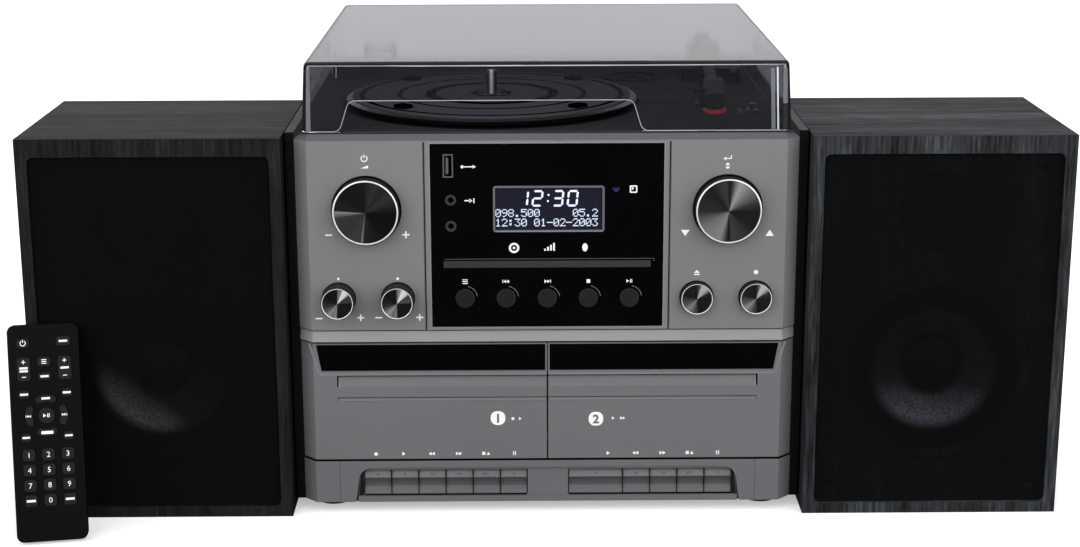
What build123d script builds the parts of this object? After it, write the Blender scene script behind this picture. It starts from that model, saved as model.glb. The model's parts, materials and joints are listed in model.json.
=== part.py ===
from build123d import *
from math import cos, hypot, radians, sin, tan
import os

os.makedirs("parts", exist_ok=True)

# A stereo music centre: turntable under a hinged cover, slot CD player and radio behind
# a two-part fascia, twin cassette deck with piano keys, two speakers and a remote control.
# Millimetres. x runs to the right, y into the unit, z up from the surface it stands on.
# Inside the helpers below, y is counted from the front face of the fascia.

# ---------------------------------------------------------------- driving dimensions
# Case and its front mouldings
case_width = 315.2
case_depth = 305.0
side_wall = 5.4
back_wall = 3.0
case_corner = 3.0
floor_wall = 3.0
deck_wall = 3.0
ledge_width = 3.0
ledge_height = 4.0
foot_height = 7.0
foot_radius = 12.0
foot_inset = 22.0
plinth_height = 28.0
door_height = 74.8
band_height = 6.5
fascia_height = 117.6
fascia_bevel = 4.0
corner_cut = 8.0
moulding_wall = 3.2
moulding_depth = 14.0
band_lean = 12.0

# Clearances
seat_gap = 0.2
swing_gap = 0.5
running_fit = 0.05
button_gap = 0.5
cover_gap = 0.3

# Seams between the front mouldings
plinth_seam = 0.5
band_seam = 1.2
fascia_seam = 1.0
groove_gap = 3.3
groove_width = 1.6
groove_depth = 0.8

# Control panel
panel_width = 141.4
panel_height = 114.6
panel_sunk = 0.3
panel_lap = 2.0
panel_lap_wall = 1.3
display_width = 66.1
display_height = 27.4
display_x = 1.0
display_z = 194.5
slot_width = 125.8
slot_gap = 2.0
slot_z = 163.2
slot_bar_height = 4.6
slot_margin = 2.5
slot_sink = 1.6

# Controls
control_z = 139.0
big_knob_z = 194.3
big_knob_radius = 20.25
big_knob_reach = 8.0
big_knob_sink = 2.6
small_knob_radius = 10.0
small_knob_reach = 12.0
column_gaps = (10.3, 16.0, 7.2)
round_button_reach = 5.0
function_pitch = 25.0
function_radius = 6.0
function_reach = 1.5
knob_wall = 1.6
shaft_radius = 3.0
push_travel = 1.2
board_y = 24.0
board_wall = 1.6
board_side_gap = 4.0
board_low_gap = 4.0
board_high_gap = 8.0
boss_radius = 3.0
boss_side = 8.2
boss_rise = 5.0

# Sockets in the control panel
socket_inset = 12.6
usb_inset = 11.2
usb_z = 221.2
usb_width = 6.2
usb_height = 14.3
aux_z = 200.2
phones_z = 184.1
jack_ring_radius = 3.2
jack_radius = 1.8
jack_length = 12.0
jack_body_radius = 4.5

# Cassette deck
hinge_y = 4.6
hinge_rise = 3.0
door_split = 0.6
door_end_gap = 0.3
door_pin_radius = 1.2
lug_radius = 2.4
lug_width = 4.0
lug_near = 20.0
lug_end_gap = 12.2
lug_stem_front = 0.6
window_height = 16.5
window_top_gap = 0.8
window_end_gap = 2.3
window_slope = 2.9
window_split_edge = 1.5
window_sunk = 0.3
window_lap = 1.2
pull_top = 20.4
pull_height = 7.5
pull_depth = 2.0
pull_end_gap = 14.5
line_top = 34.5
line_height = 2.6
line_depth = 0.8
cassette_width = 102.0
cassette_depth = 12.6
cassette_x = 63.0
pocket_wall = 2.0
pocket_lip = 4.0
reel_pitch = 42.5
reel_radius = 4.2
reel_rise = 36.0
reel_tube = 1.4
reel_seat = 6.0
reel_overlap = 4.0
chassis_y = 25.0
chassis_wall = 2.0
chassis_margin = 9.0
chassis_near_gap = 2.0
capstan_offset = 24.0
capstan_radius = 1.2
head_width = 34.0
head_height = 6.0
head_reach = 4.0

# Piano keys
key_pitch = 17.0
key_gap = 0.5
key_bottom = 11.2
key_height = 16.1
key_front = 2.3
key_depth = 5.2
blank_half = 12.8
tongue_top_half = 6.8
tongue_foot_half = 3.6
tongue_drop = 9.0
tongue_corner = 1.0
tongue_sunk = 0.3
bank_centre = 0.2
key_pivot_y = 58.0
key_pivot_z = 24.0
key_rod_radius = 1.5
bracket_width = 16.0
bracket_wall = 3.0
bracket_rise = 6.0
rod_overhang = 4.0
key_hub_radius = 4.4
lever_height = 5.4
plinth_lip = 1.8
plinth_roof = 7.2
recess_end_gap = 5.2
recess_top = 29.6
recess_depth = 1.8
recess_radius = 9.0

# Turntable
platter_inset = 123.1
platter_y = 112.0
platter_radius = 94.0
platter_top = 245.8
platter_rim = 3.6
platter_wall = 2.2
well_radius = 97.0
well_depth = 1.5
mat_radius = 90.0
mat_wall = 1.0
spindle_radius = 3.55
spindle_tip = 1.6
spindle_top = 262.0
spindle_shaft_radius = 4.0
spindle_foot = 222.0
bearing_radius = 9.0
hub_radius = 11.5
adapter_aside = 50.5
adapter_ahead = 3.0
adapter_radius = 19.5
adapter_wall = 3.0

# Tonearm
arm_inset = 45.6
arm_y = 215.0
arm_reach_x = -9.0
arm_reach_y = -180.0
arm_z = 260.5
arm_radius = 3.6
arm_tail = 22.0
weight_radius = 6.5
weight_length = 13.0
arm_base_width = 42.0
arm_base_length = 56.0
arm_base_height = 10.0
arm_base_corner = 8.0
arm_base_aside = 4.0
yoke_half = 8.0
yoke_wall = 2.4
stylus_z = 248.8

# Speed selector
selector_inset = 26.6
selector_y = 74.0
selector_travel = 12.0
selector_stem = 3.0

# Dust cover
cover_inset = 10.2
cover_front = 5.5
cover_back_gap = 9.5
cover_height = 41.8
cover_draft = 3.2
cover_wall = 2.5
cover_radius = 6.0
front_notch_reach = (89.8, 91.9)
side_notch_reach = (92.0, 102.0)
notch_height = 18.8
notch_slope = 5.8
notch_radius = 5.0
cover_hinge_inset = 4.0
cover_hinge_rise = 6.0
cover_knuckle_radius = 4.6
cover_knuckle_width = 16.0
cover_hinge_gap = 27.4
cover_pin_radius = 2.0
cover_ear_wall = 3.5

# Rear sockets
phono_radius = 4.15
phono_reach = 8.0
phono_boss = 1.0
phono_wall = 2.5
phono_pitch = 14.0
phono_x = (88.0, -40.0)
phono_z = 60.0
inlet_inset = 37.6
inlet_width = 20.0
inlet_height = 12.0

# Speakers
speaker_width = 158.0
speaker_height = 239.5
speaker_depth = 136.0
speaker_gap = 1.4
speaker_front = -5.7
board = 9.0
rim_side = 7.0
rim_top = 11.0
grille_sunk = 1.0
grille_cloth = 1.0
grille_gap = 0.6
peg_radius = 3.0
peg_inset = 9.0
rim_depth = 6.0
woofer_z = 93.0
woofer_radius = 52.0
woofer_depth = 42.0
cone_radius = 43.0
tweeter_z = 192.0
tweeter_radius = 25.0
tweeter_depth = 18.0

# Remote control
remote_width = 42.0
remote_length = 131.0
remote_wall = 8.0
remote_lean = 14.0
remote_turn = 10.0
remote_aside = 62.0
remote_rest_gap = 0.3
battery_width = 28.0
battery_length = 40.0
battery_rise = 34.0
line_cut = 0.5
pad_depth = 1.2
pad_sheet = 0.8
pad_reach = 0.8

# ---------------------------------------------------------------- worked out from them
inner_half = case_width / 2 - side_wall
front_half = inner_half
face_half = front_half - corner_cut
panel_half = panel_width / 2
groove_x = panel_half + groove_gap
plinth_top = foot_height + plinth_height
door_bottom = plinth_top + plinth_seam
door_top = door_bottom + door_height
band_bottom = door_top + band_seam
fascia_bottom = band_bottom + band_height + fascia_seam
deck_top = fascia_bottom + fascia_height + fascia_bevel
deck_bottom = deck_top - deck_wall
panel_z = fascia_bottom + (fascia_height + seat_gap) / 2
panel_back = moulding_wall + panel_lap_wall
board_half = inner_half - board_side_gap
board_low = fascia_bottom + board_low_gap
board_high = deck_bottom - board_high_gap
hinge_z = plinth_top + hinge_rise
lug_x = (lug_near, face_half - lug_end_gap)
window_end = face_half - window_end_gap
pull_end = face_half - pull_end_gap
recess_half = 6 * key_pitch + blank_half + recess_end_gap
socket_x = socket_inset - panel_half
usb_x = usb_inset - panel_half
platter_x = platter_inset - case_width / 2
arm_x = case_width / 2 - arm_inset
adapter_x = arm_x - adapter_aside
adapter_y = arm_y - adapter_ahead
selector_x = case_width / 2 - selector_inset
inlet_x = inlet_inset - case_width / 2
cover_half = case_width / 2 - cover_inset
cover_back = case_depth - cover_back_gap
cover_hinge_x = cover_half - cover_hinge_gap
cover_hinge_y = case_depth - cover_hinge_inset
front_notch = (platter_x - front_notch_reach[0], platter_x + front_notch_reach[1])
side_notch = (platter_y - side_notch_reach[0], platter_y + side_notch_reach[1])
speaker_x = case_width / 2 + speaker_gap + speaker_width / 2
remote_x = -speaker_x - remote_aside
cover_bottom = deck_top + cover_gap
cover_hinge_z = deck_top + cover_hinge_rise

# Two columns of small controls stand on each side of the panel. The room that they leave
# is shared out beside, between and past them, and the big knobs are midway above them.
column_room = face_half - panel_half - 4 * small_knob_radius
column_share = column_room / sum(column_gaps)
inner_column = panel_half + column_gaps[0] * column_share + small_knob_radius
outer_column = face_half - column_gaps[2] * column_share - small_knob_radius
big_knob_x = (inner_column + outer_column) / 2
tone_knob_x = (-outer_column, -inner_column)
round_button_x = (inner_column, outer_column)

remote_run = remote_length * sin(radians(remote_lean))

# The remote's lower back edge stands on the surface and its upper right corner leans on
# the left speaker, so its centre line starts this far in front of the fascia.
remote_y = (
    speaker_front
    - remote_rest_gap
    - remote_run * cos(radians(remote_turn))
    - remote_width / 2 * sin(radians(remote_turn))
)
set_front = (
    remote_y
    - remote_width / 2 * sin(radians(remote_turn))
    - remote_wall * cos(radians(remote_lean)) * cos(radians(remote_turn))
)
set_back = case_depth + phono_reach
set_left = (
    remote_x
    - remote_run * sin(radians(remote_turn))
    - remote_width / 2 * cos(radians(remote_turn))
)
set_right = speaker_x + speaker_width / 2

# The origin is under the middle of the whole set
centre_x = -(set_left + set_right) / 2
face_y = -(set_front + set_back) / 2


# ---------------------------------------------------------------- helpers
def level(z):
    """A level plane: sketch x is x, sketch y is the distance behind the fascia."""
    return Plane(origin=(centre_x, face_y, z))


def facing(y):
    """An upright plane that looks out of the front: sketch x is x, sketch y is z."""
    return Plane(origin=(centre_x, face_y + y, 0), x_dir=(1, 0, 0), z_dir=(0, -1, 0))


def section(x):
    """An upright plane across the unit: sketch x is the distance behind the fascia, y is z."""
    return Plane(origin=(centre_x + x, face_y, 0), x_dir=(0, 1, 0), z_dir=(1, 0, 0))


def save(part, name):
    part.label = name
    export_step(part, "parts/" + name + ".step")


def front_outline(back, inset=0.0, half=front_half):
    """Plan of the front mouldings: a flat face with its two corners cut back."""
    turn = inset * tan(radians(22.5))
    side = half - inset
    cut = half - corner_cut - turn
    knee = corner_cut + turn
    return [(-side, back), (-side, knee), (-cut, inset), (cut, inset), (side, knee), (side, back)]


def half_outline(back, inset, side, near):
    """One half of that plan, from the split between the doors out to one end."""
    turn = inset * tan(radians(22.5))
    half = front_half - door_end_gap
    far = half - inset
    cut = half - corner_cut - turn
    knee = corner_cut + turn
    points = [(near, inset), (cut, inset), (far, knee), (far, back), (near, back)]
    return [(side * x, y) for x, y in points]


# ---------------------------------------------------------------- case and feet
with BuildPart() as cabinet_case:
    with BuildSketch(level(foot_height)):
        with Locations((0, (corner_cut + case_depth) / 2)):
            Rectangle(case_width, case_depth - corner_cut)
    extrude(amount=deck_top - foot_height)
    fillet(cabinet_case.edges().filter_by(Axis.Z).group_by(Axis.Y)[-1], case_corner)
    # The inside, with a ledge for the deck under its top edge
    inner_back = case_depth - back_wall
    for low, high, inset in (
        (foot_height + floor_wall, deck_bottom - ledge_height, 0.0),
        (deck_bottom - ledge_height, deck_bottom, ledge_width),
        (deck_bottom, deck_top, 0.0),
    ):
        with BuildSketch(level(low)):
            with Locations((0, (corner_cut + inner_back - inset) / 2)):
                Rectangle(2 * (inner_half - inset), inner_back - inset - corner_cut)
        extrude(amount=high - low, mode=Mode.SUBTRACT)
    # The ledge and the floor stop short of the front mouldings
    with BuildSketch(level(deck_bottom - ledge_height)):
        with Locations((0, (corner_cut + moulding_depth + seat_gap) / 2)):
            Rectangle(2 * inner_half, moulding_depth + seat_gap - corner_cut)
    extrude(amount=ledge_height, mode=Mode.SUBTRACT)
    with BuildSketch(level(foot_height)):
        with Locations((0, (corner_cut + moulding_depth) / 2)):
            Rectangle(2 * inner_half, moulding_depth - corner_cut)
    extrude(amount=floor_wall, mode=Mode.SUBTRACT)
    # Rear socket holes and louvres
    with BuildSketch(facing(case_depth)):
        for x in phono_x:
            with Locations((x, phono_z)):
                with GridLocations(phono_pitch, phono_pitch, 2, 2):
                    Circle(phono_radius + phono_boss + seat_gap)
        with Locations((inlet_x, phono_z)):
            Rectangle(inlet_width + 2 * seat_gap, inlet_height + 2 * seat_gap)
        with Locations((0, 165)):
            with GridLocations(46, 9, 4, 7):
                SlotOverall(38, 3.2)
    extrude(amount=back_wall, mode=Mode.SUBTRACT)
save(cabinet_case.part, "cabinet_case")

with BuildPart() as rubber_feet:
    foot_x = case_width / 2 - foot_inset
    foot_rows = (moulding_depth + foot_radius, case_depth - foot_inset)
    with BuildSketch(level(0)):
        with Locations(*[(s * foot_x, y) for s in (-1, 1) for y in foot_rows]):
            Circle(foot_radius)
    extrude(amount=foot_height)
    chamfer(rubber_feet.edges().group_by(Axis.Z)[0], 1.0)
save(rubber_feet.part, "rubber_feet")

# ---------------------------------------------------------------- upper fascia
with BuildPart() as upper_fascia:
    with BuildSketch(level(fascia_bottom)):
        with BuildLine():
            Polyline(*front_outline(moulding_depth), close=True)
        make_face()
    extrude(amount=deck_top - fascia_bottom)
    top_edges = upper_fascia.edges().group_by(Axis.Z)[-1]
    chamfer(top_edges.sort_by(Axis.Y)[:-1], fascia_bevel)
    with BuildSketch(level(fascia_bottom)):
        with BuildLine():
            Polyline(*front_outline(moulding_depth, moulding_wall), close=True)
        make_face()
    extrude(amount=deck_top - fascia_bottom - moulding_wall, mode=Mode.SUBTRACT)
    # The deck closes the top behind the corner cuts
    with BuildSketch(level(deck_bottom - seat_gap)):
        with Locations((0, corner_cut + moulding_depth / 2)):
            Rectangle(2 * inner_half, moulding_depth)
    extrude(amount=deck_wall + seat_gap, mode=Mode.SUBTRACT)
    # Control panel, knob and button holes
    with BuildSketch(facing(moulding_wall)):
        with Locations((0, panel_z)):
            Rectangle(panel_width + 2 * seat_gap, panel_height + 2 * seat_gap)
        with Locations((-big_knob_x, big_knob_z), (big_knob_x, big_knob_z)):
            Circle(big_knob_radius + 2 * button_gap)
        with Locations(*[(x, control_z) for x in tone_knob_x + round_button_x]):
            Circle(small_knob_radius + button_gap)
    extrude(amount=moulding_wall, mode=Mode.SUBTRACT)
    # Upright grooves beside the control panel
    with BuildSketch(facing(groove_depth)):
        with Locations((-groove_x, panel_z - 1), (groove_x, panel_z - 1)):
            Rectangle(groove_width, fascia_height)
    extrude(amount=groove_depth, mode=Mode.SUBTRACT)
    # Bosses that carry the circuit board
    boss_x = board_half - boss_side
    with BuildSketch(facing(board_y)):
        for z in (board_low + boss_rise, board_high - boss_rise):
            with Locations((-boss_x, z), (boss_x, z)):
                Circle(boss_radius)
    extrude(amount=board_y - moulding_wall)
save(upper_fascia.part, "upper_fascia")

# ---------------------------------------------------------------- control panel
button_xs = [function_pitch * i for i in (-2, -1, 0, 1, 2)]
with BuildPart() as gloss_panel:
    with BuildSketch(facing(moulding_wall)):
        with Locations((0, panel_z)):
            Rectangle(panel_width, panel_height)
    extrude(amount=moulding_wall - panel_sunk)
    with BuildSketch(facing(panel_back)):
        with Locations((0, panel_z)):
            Rectangle(panel_width + 2 * panel_lap, panel_height)
    extrude(amount=panel_lap_wall)
    with BuildSketch(facing(panel_back)):
        with Locations((display_x, display_z)):
            Rectangle(display_width + 2 * seat_gap, display_height + 2 * seat_gap)
        with Locations(*[(x, control_z) for x in button_xs]):
            Circle(function_radius + button_gap)
        with Locations((socket_x, aux_z), (socket_x, phones_z)):
            Circle(jack_ring_radius + seat_gap)
        with Locations((usb_x, usb_z)):
            Rectangle(usb_width + 2 * seat_gap, usb_height + 2 * seat_gap)
        with Locations((0, slot_z)):
            Rectangle(slot_width, slot_gap)
    extrude(amount=panel_back, mode=Mode.SUBTRACT)
    slot_low = slot_z - slot_gap / 2 - slot_bar_height
    with BuildSketch(facing(panel_sunk + slot_sink)):
        with Locations((0, (slot_low + slot_z + slot_gap / 2) / 2)):
            Rectangle(slot_width + 2 * slot_margin, slot_bar_height + slot_gap)
    extrude(amount=slot_sink, mode=Mode.SUBTRACT)
save(gloss_panel.part, "gloss_panel")

with BuildPart() as cd_slot_trim:
    with BuildSketch(facing(panel_sunk + slot_sink)):
        with Locations((0, slot_low + slot_bar_height / 2)):
            Rectangle(slot_width, slot_bar_height - seat_gap)
    extrude(amount=slot_sink - 0.2)
    chamfer(cd_slot_trim.edges().group_by(Axis.Y)[0].filter_by(Axis.X), 0.4)
save(cd_slot_trim.part, "cd_slot_trim")

with BuildPart() as lcd_display:
    display_glass_y = panel_sunk + 0.5
    with BuildSketch(facing(panel_back)):
        with Locations((display_x, display_z)):
            Rectangle(display_width, display_height)
    extrude(amount=panel_back - display_glass_y)
    with BuildSketch(facing(panel_back + 5)):
        with Locations((display_x, display_z)):
            Rectangle(display_width + 8, display_height + 8)
    extrude(amount=5)
    with BuildSketch(facing(display_glass_y + 0.4)):
        with Locations((display_x, display_z)):
            Rectangle(display_width - 1.6, display_height - 1.6)
    extrude(amount=0.4, mode=Mode.SUBTRACT)
save(lcd_display.part, "lcd_display")

# ---------------------------------------------------------------- trim band
with BuildPart() as trim_band:
    with BuildSketch(level(band_bottom)):
        with BuildLine():
            Polyline(*front_outline(moulding_depth), close=True)
        make_face()
    extrude(amount=band_height)
    with BuildSketch(level(band_bottom)):
        with BuildLine():
            Polyline(*front_outline(moulding_depth, moulding_wall), close=True)
        make_face()
    extrude(amount=band_height, mode=Mode.SUBTRACT)
    outside = (
        trim_band.faces()
        .filter_by(lambda f: f.normal_at().Y < -0.5)
        .filter_by(lambda f: f.center().Y - face_y < corner_cut / 2 + 0.1)
    )
    draft(outside, Plane.XY.offset(band_bottom), band_lean)
save(trim_band.part, "trim_band")

# ---------------------------------------------------------------- plinth with key openings
left_bank = bank_centre - blank_half
right_bank = bank_centre + blank_half
bank_left_end = left_bank - 6 * key_pitch
bank_right_end = right_bank + 6 * key_pitch
key_top = key_bottom + key_height
door_corner = hypot(hinge_y, hinge_rise - plinth_seam)

lip_top = key_bottom - key_gap
key_face_start = (key_front, key_bottom)
key_face_end = (key_front + 2.3, key_top)


def key_face():
    """Front of a piano key from its lower edge up: a lip, a hollow and a sloping top."""
    lip_end = (key_front, key_bottom + 0.2 * key_height)
    hollow_end = (key_front + 0.2, key_bottom + 0.68 * key_height)
    hollow_middle = (key_front + 1.3, key_bottom + 0.45 * key_height)
    Line(key_face_start, lip_end)
    ThreePointArc(lip_end, hollow_middle, hollow_end)
    Line(hollow_end, key_face_end)


with BuildPart() as key_bezel:
    with BuildSketch(level(foot_height)):
        with BuildLine():
            Polyline(*front_outline(moulding_depth), close=True)
        make_face()
    extrude(amount=plinth_height)
    with BuildSketch(level(foot_height)):
        with BuildLine():
            Polyline(*front_outline(moulding_depth, moulding_wall), close=True)
        make_face()
    extrude(amount=plinth_height - plinth_roof, mode=Mode.SUBTRACT)
    # Sunk surround of the keys, open at the bottom, with rounded and flared ends
    with BuildSketch(facing(recess_depth)):
        with BuildLine():
            Line((-recess_half, foot_height), (recess_half, foot_height))
            Line((recess_half, foot_height), (recess_half - 2, recess_top - recess_radius))
            JernArc(
                (recess_half - 2, recess_top - recess_radius),
                (0, 1),
                recess_radius,
                90,
            )
            Line(
                (recess_half - 2 - recess_radius, recess_top),
                (-(recess_half - 2 - recess_radius), recess_top),
            )
            JernArc(
                (-(recess_half - 2 - recess_radius), recess_top),
                (-1, 0),
                recess_radius,
                90,
            )
            Line((-(recess_half - 2), recess_top - recess_radius), (-recess_half, foot_height))
        make_face()
    extrude(amount=recess_depth, mode=Mode.SUBTRACT)
    # The lip under the keys, then the openings that the keys drop through
    with BuildSketch(facing(plinth_lip)):
        with Locations(((bank_left_end + bank_right_end) / 2, (foot_height + lip_top) / 2)):
            Rectangle(bank_right_end - bank_left_end + 4 * plinth_lip, lip_top - foot_height)
    extrude(amount=plinth_lip)
    for near, far in ((left_bank, bank_left_end), (right_bank, bank_right_end)):
        with BuildSketch(facing(moulding_wall)):
            with Locations(((near + far) / 2, key_bottom + key_height / 2)):
                Rectangle(abs(far - near) + key_gap, key_height + 2 * key_gap)
        extrude(amount=moulding_wall, mode=Mode.SUBTRACT)
    with BuildSketch(facing(moulding_wall)):
        with Locations(((bank_left_end + bank_right_end) / 2, (foot_height + key_bottom) / 2)):
            Rectangle(bank_right_end - bank_left_end + key_gap, key_bottom - foot_height)
    extrude(amount=moulding_wall - plinth_lip, mode=Mode.SUBTRACT)
    # The fixed blank between the two banks has the keys' own front
    with BuildSketch(section(left_bank + key_gap / 2)):
        with BuildLine():
            key_face()
            Line(key_face_end, (moulding_wall, key_top))
            Line((moulding_wall, key_top), (moulding_wall, key_bottom))
            Line((moulding_wall, key_bottom), key_face_start)
        make_face()
    extrude(amount=2 * blank_half - key_gap)
    with BuildSketch(facing(moulding_wall)):
        with Locations((bank_centre, (lip_top + key_bottom) / 2)):
            Rectangle(2 * blank_half - key_gap, key_bottom - lip_top + key_gap)
    extrude(amount=moulding_wall - plinth_lip / 2)
    # Raised tongue that runs down the middle of the blank
    with BuildSketch(facing(moulding_wall)) as tongue:
        with BuildLine():
            Polyline(
                (bank_centre - tongue_top_half, key_top),
                (bank_centre - tongue_foot_half, key_top - tongue_drop),
                (bank_centre + tongue_foot_half, key_top - tongue_drop),
                (bank_centre + tongue_top_half, key_top),
                close=True,
            )
        make_face()
        fillet(tongue.vertices().group_by(Axis.Y)[0], tongue_corner)
    extrude(amount=moulding_wall - key_front - tongue_sunk)
    # Cove in the top edge that the lower edge of the doors turns in
    cove = door_corner + swing_gap / 2
    door_axis = Axis((centre_x, face_y + hinge_y, hinge_z), (1, 0, 0))
    with BuildSketch(Plane(origin=door_axis.position, x_dir=(1, 0, 0), z_dir=(0, -1, 0))):
        with BuildLine():
            Polyline(
                (-face_half - hinge_y, 0),
                (-face_half - hinge_y, hinge_rise),
                (-face_half, cove),
                (face_half, cove),
                (face_half + hinge_y, hinge_rise),
                (face_half + hinge_y, 0),
                close=True,
            )
        make_face()
    revolve(axis=door_axis, mode=Mode.SUBTRACT)
    # Hinge lugs that stand up out of the cove
    lug_floor = hinge_z - cove - 1.0
    stem_middle = hinge_y + (lug_radius - lug_stem_front) / 2
    for side in (-1, 1):
        for x in lug_x:
            with BuildSketch(section(side * x - lug_width / 2)):
                with Locations((hinge_y, hinge_z)):
                    Circle(lug_radius)
                with Locations((stem_middle, (hinge_z + lug_floor) / 2)):
                    Rectangle(lug_radius + lug_stem_front, hinge_z - lug_floor)
                with Locations((hinge_y, hinge_z)):
                    Circle(door_pin_radius + running_fit, mode=Mode.SUBTRACT)
            extrude(amount=lug_width)
save(key_bezel.part, "key_bezel")

# ---------------------------------------------------------------- piano keys
lever_low = key_pivot_z - lever_height / 2


def make_key(name, left, right, round_side):
    with BuildPart() as key:
        with BuildSketch(section(left)):
            with BuildLine():
                key_face()
                back_y = key_front + key_depth
                Line(key_face_end, (back_y, key_top))
                Line((back_y, key_top), (back_y + 4, lever_low + lever_height))
                Line((back_y + 4, lever_low + lever_height), (key_pivot_y, lever_low + lever_height))
                Line((key_pivot_y, lever_low + lever_height), (key_pivot_y, lever_low))
                Line((key_pivot_y, lever_low), (back_y + 2, lever_low))
                Line((back_y + 2, lever_low), (back_y, key_bottom))
                Line((back_y, key_bottom), key_face_start)
            make_face()
        extrude(amount=right - left)
        if round_side:
            edges = key.edges().filter_by(Axis.Y).group_by(Axis.X)[0 if round_side < 0 else -1]
            fillet(edges.sort_by(Axis.Z)[-1], 0.6)
        with BuildSketch(section(left)):
            with Locations((key_pivot_y, key_pivot_z)):
                Circle(key_hub_radius)
        extrude(amount=right - left)
        with BuildSketch(section(left)):
            with Locations((key_pivot_y, key_pivot_z)):
                Circle(key_rod_radius + running_fit)
        extrude(amount=right - left, mode=Mode.SUBTRACT)
    save(key.part, name)


left_keys = ("record", "play", "rewind", "forward", "stop", "pause")
for i, action in enumerate(left_keys):
    x = bank_left_end + i * key_pitch
    make_key("key_1_" + action, x + key_gap / 2, x + key_pitch - key_gap / 2, -1 if i == 0 else 0)

right_keys = ("play", "rewind", "forward", "stop", "pause")
for i, action in enumerate(right_keys):
    start = right_bank + (i + 1) * key_pitch if i else right_bank
    end = right_bank + (i + 2) * key_pitch
    make_key("key_2_" + action, start + key_gap / 2, end - key_gap / 2, 1 if i == 4 else 0)

# ---------------------------------------------------------------- cassette doors
window_top = door_top - window_top_gap
window_bottom = window_top - window_height
pocket_low = hinge_z + 2.6
pocket_height = window_bottom - window_lap - swing_gap - pocket_low


def window_outline(side, grow=0.0):
    """The smoked window: upright at the split and sloping in at its far lower corner."""
    near = window_split_edge - grow
    far = window_end + grow / 2
    low = window_bottom - grow
    top = window_top + min(grow, window_top_gap - 0.2)
    points = [(near, low), (far - window_slope, low), (far, top), (near, top)]
    return [(side * x, z) for x, z in points]


def make_door(name, side):
    near = door_split / 2
    with BuildPart() as door:
        with BuildSketch(level(door_bottom)):
            with BuildLine():
                Polyline(*half_outline(moulding_depth - 1, 0.0, side, near), close=True)
            make_face()
        extrude(amount=door_height)
        with BuildSketch(level(door_bottom)):
            with BuildLine():
                inner = half_outline(moulding_depth - 1, moulding_wall, side, near)
                Polyline(*inner, close=True)
            make_face()
        extrude(amount=door_height, mode=Mode.SUBTRACT)
        with BuildSketch(facing(moulding_wall)):
            with BuildLine():
                Polyline(*window_outline(side, seat_gap), close=True)
            make_face()
        extrude(amount=moulding_wall, mode=Mode.SUBTRACT)
        # Finger pull, deepest under its top edge, and the thin line below it
        with BuildSketch(section(side * near)):
            with BuildLine():
                top = door_top - pull_top
                Polyline((0, top), (pull_depth, top - 0.6), (0, top - pull_height), close=True)
            make_face()
        extrude(amount=side * (pull_end - near), mode=Mode.SUBTRACT)
        with BuildSketch(facing(line_depth)):
            with Locations((side * (pull_end + near) / 2, door_top - line_top - line_height / 2)):
                Rectangle(pull_end - near, line_height)
        extrude(amount=line_depth, mode=Mode.SUBTRACT)
        # Knuckles: cheeks either side of each lug, joined by the hinge pin
        for x in lug_x:
            slot = lug_width + 2 * swing_gap
            with BuildSketch(section(side * x - slot / 2 - lug_width / 2)):
                with Locations((hinge_y, hinge_z)):
                    Circle(lug_radius)
                with Locations(((moulding_wall + hinge_y) / 2 - 0.5, hinge_z)):
                    Rectangle(hinge_y - moulding_wall + 1, 2 * lug_radius)
            extrude(amount=slot + lug_width)
            with BuildSketch(section(side * x - slot / 2)):
                with Locations((hinge_y, hinge_z)):
                    Circle(lug_radius + swing_gap / 2)
                with Locations((hinge_y + lug_radius / 2, hinge_z - hinge_rise / 2)):
                    Rectangle(3 * lug_radius + swing_gap, hinge_rise)
                with Locations((hinge_y, hinge_z)):
                    Circle(door_pin_radius, mode=Mode.SUBTRACT)
            extrude(amount=slot, mode=Mode.SUBTRACT)
        # Cassette pocket: two channels with lips and a foot under each
        for end in (-1, 1):
            inside = side * cassette_x + end * cassette_width / 2
            channel = [
                (inside, moulding_wall),
                (inside + end * pocket_wall, moulding_wall),
                (inside + end * pocket_wall, moulding_wall + cassette_depth + pocket_wall),
                (inside - end * pocket_lip, moulding_wall + cassette_depth + pocket_wall),
                (inside - end * pocket_lip, moulding_wall + cassette_depth),
                (inside, moulding_wall + cassette_depth),
            ]
            with BuildSketch(level(pocket_low)):
                with BuildLine():
                    Polyline(*channel, close=True)
                make_face()
            extrude(amount=pocket_height)
            with BuildSketch(level(pocket_low)):
                with Locations((inside - end * 3 * pocket_lip / 2, moulding_wall + cassette_depth / 2)):
                    Rectangle(3 * pocket_lip, cassette_depth)
            extrude(amount=pocket_wall)
    save(door.part, name)


def make_window(name, side):
    with BuildPart() as window:
        with BuildSketch(facing(moulding_wall)):
            with BuildLine():
                Polyline(*window_outline(side), close=True)
            make_face()
        extrude(amount=moulding_wall - window_sunk)
        with BuildSketch(facing(moulding_wall + window_lap)):
            with BuildLine():
                Polyline(*window_outline(side, window_lap), close=True)
            make_face()
        extrude(amount=window_lap)
    save(window.part, name)


for number, side in ((1, -1), (2, 1)):
    make_door("cassette_door_%d" % number, side)
    make_window("cassette_window_%d" % number, side)

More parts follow.
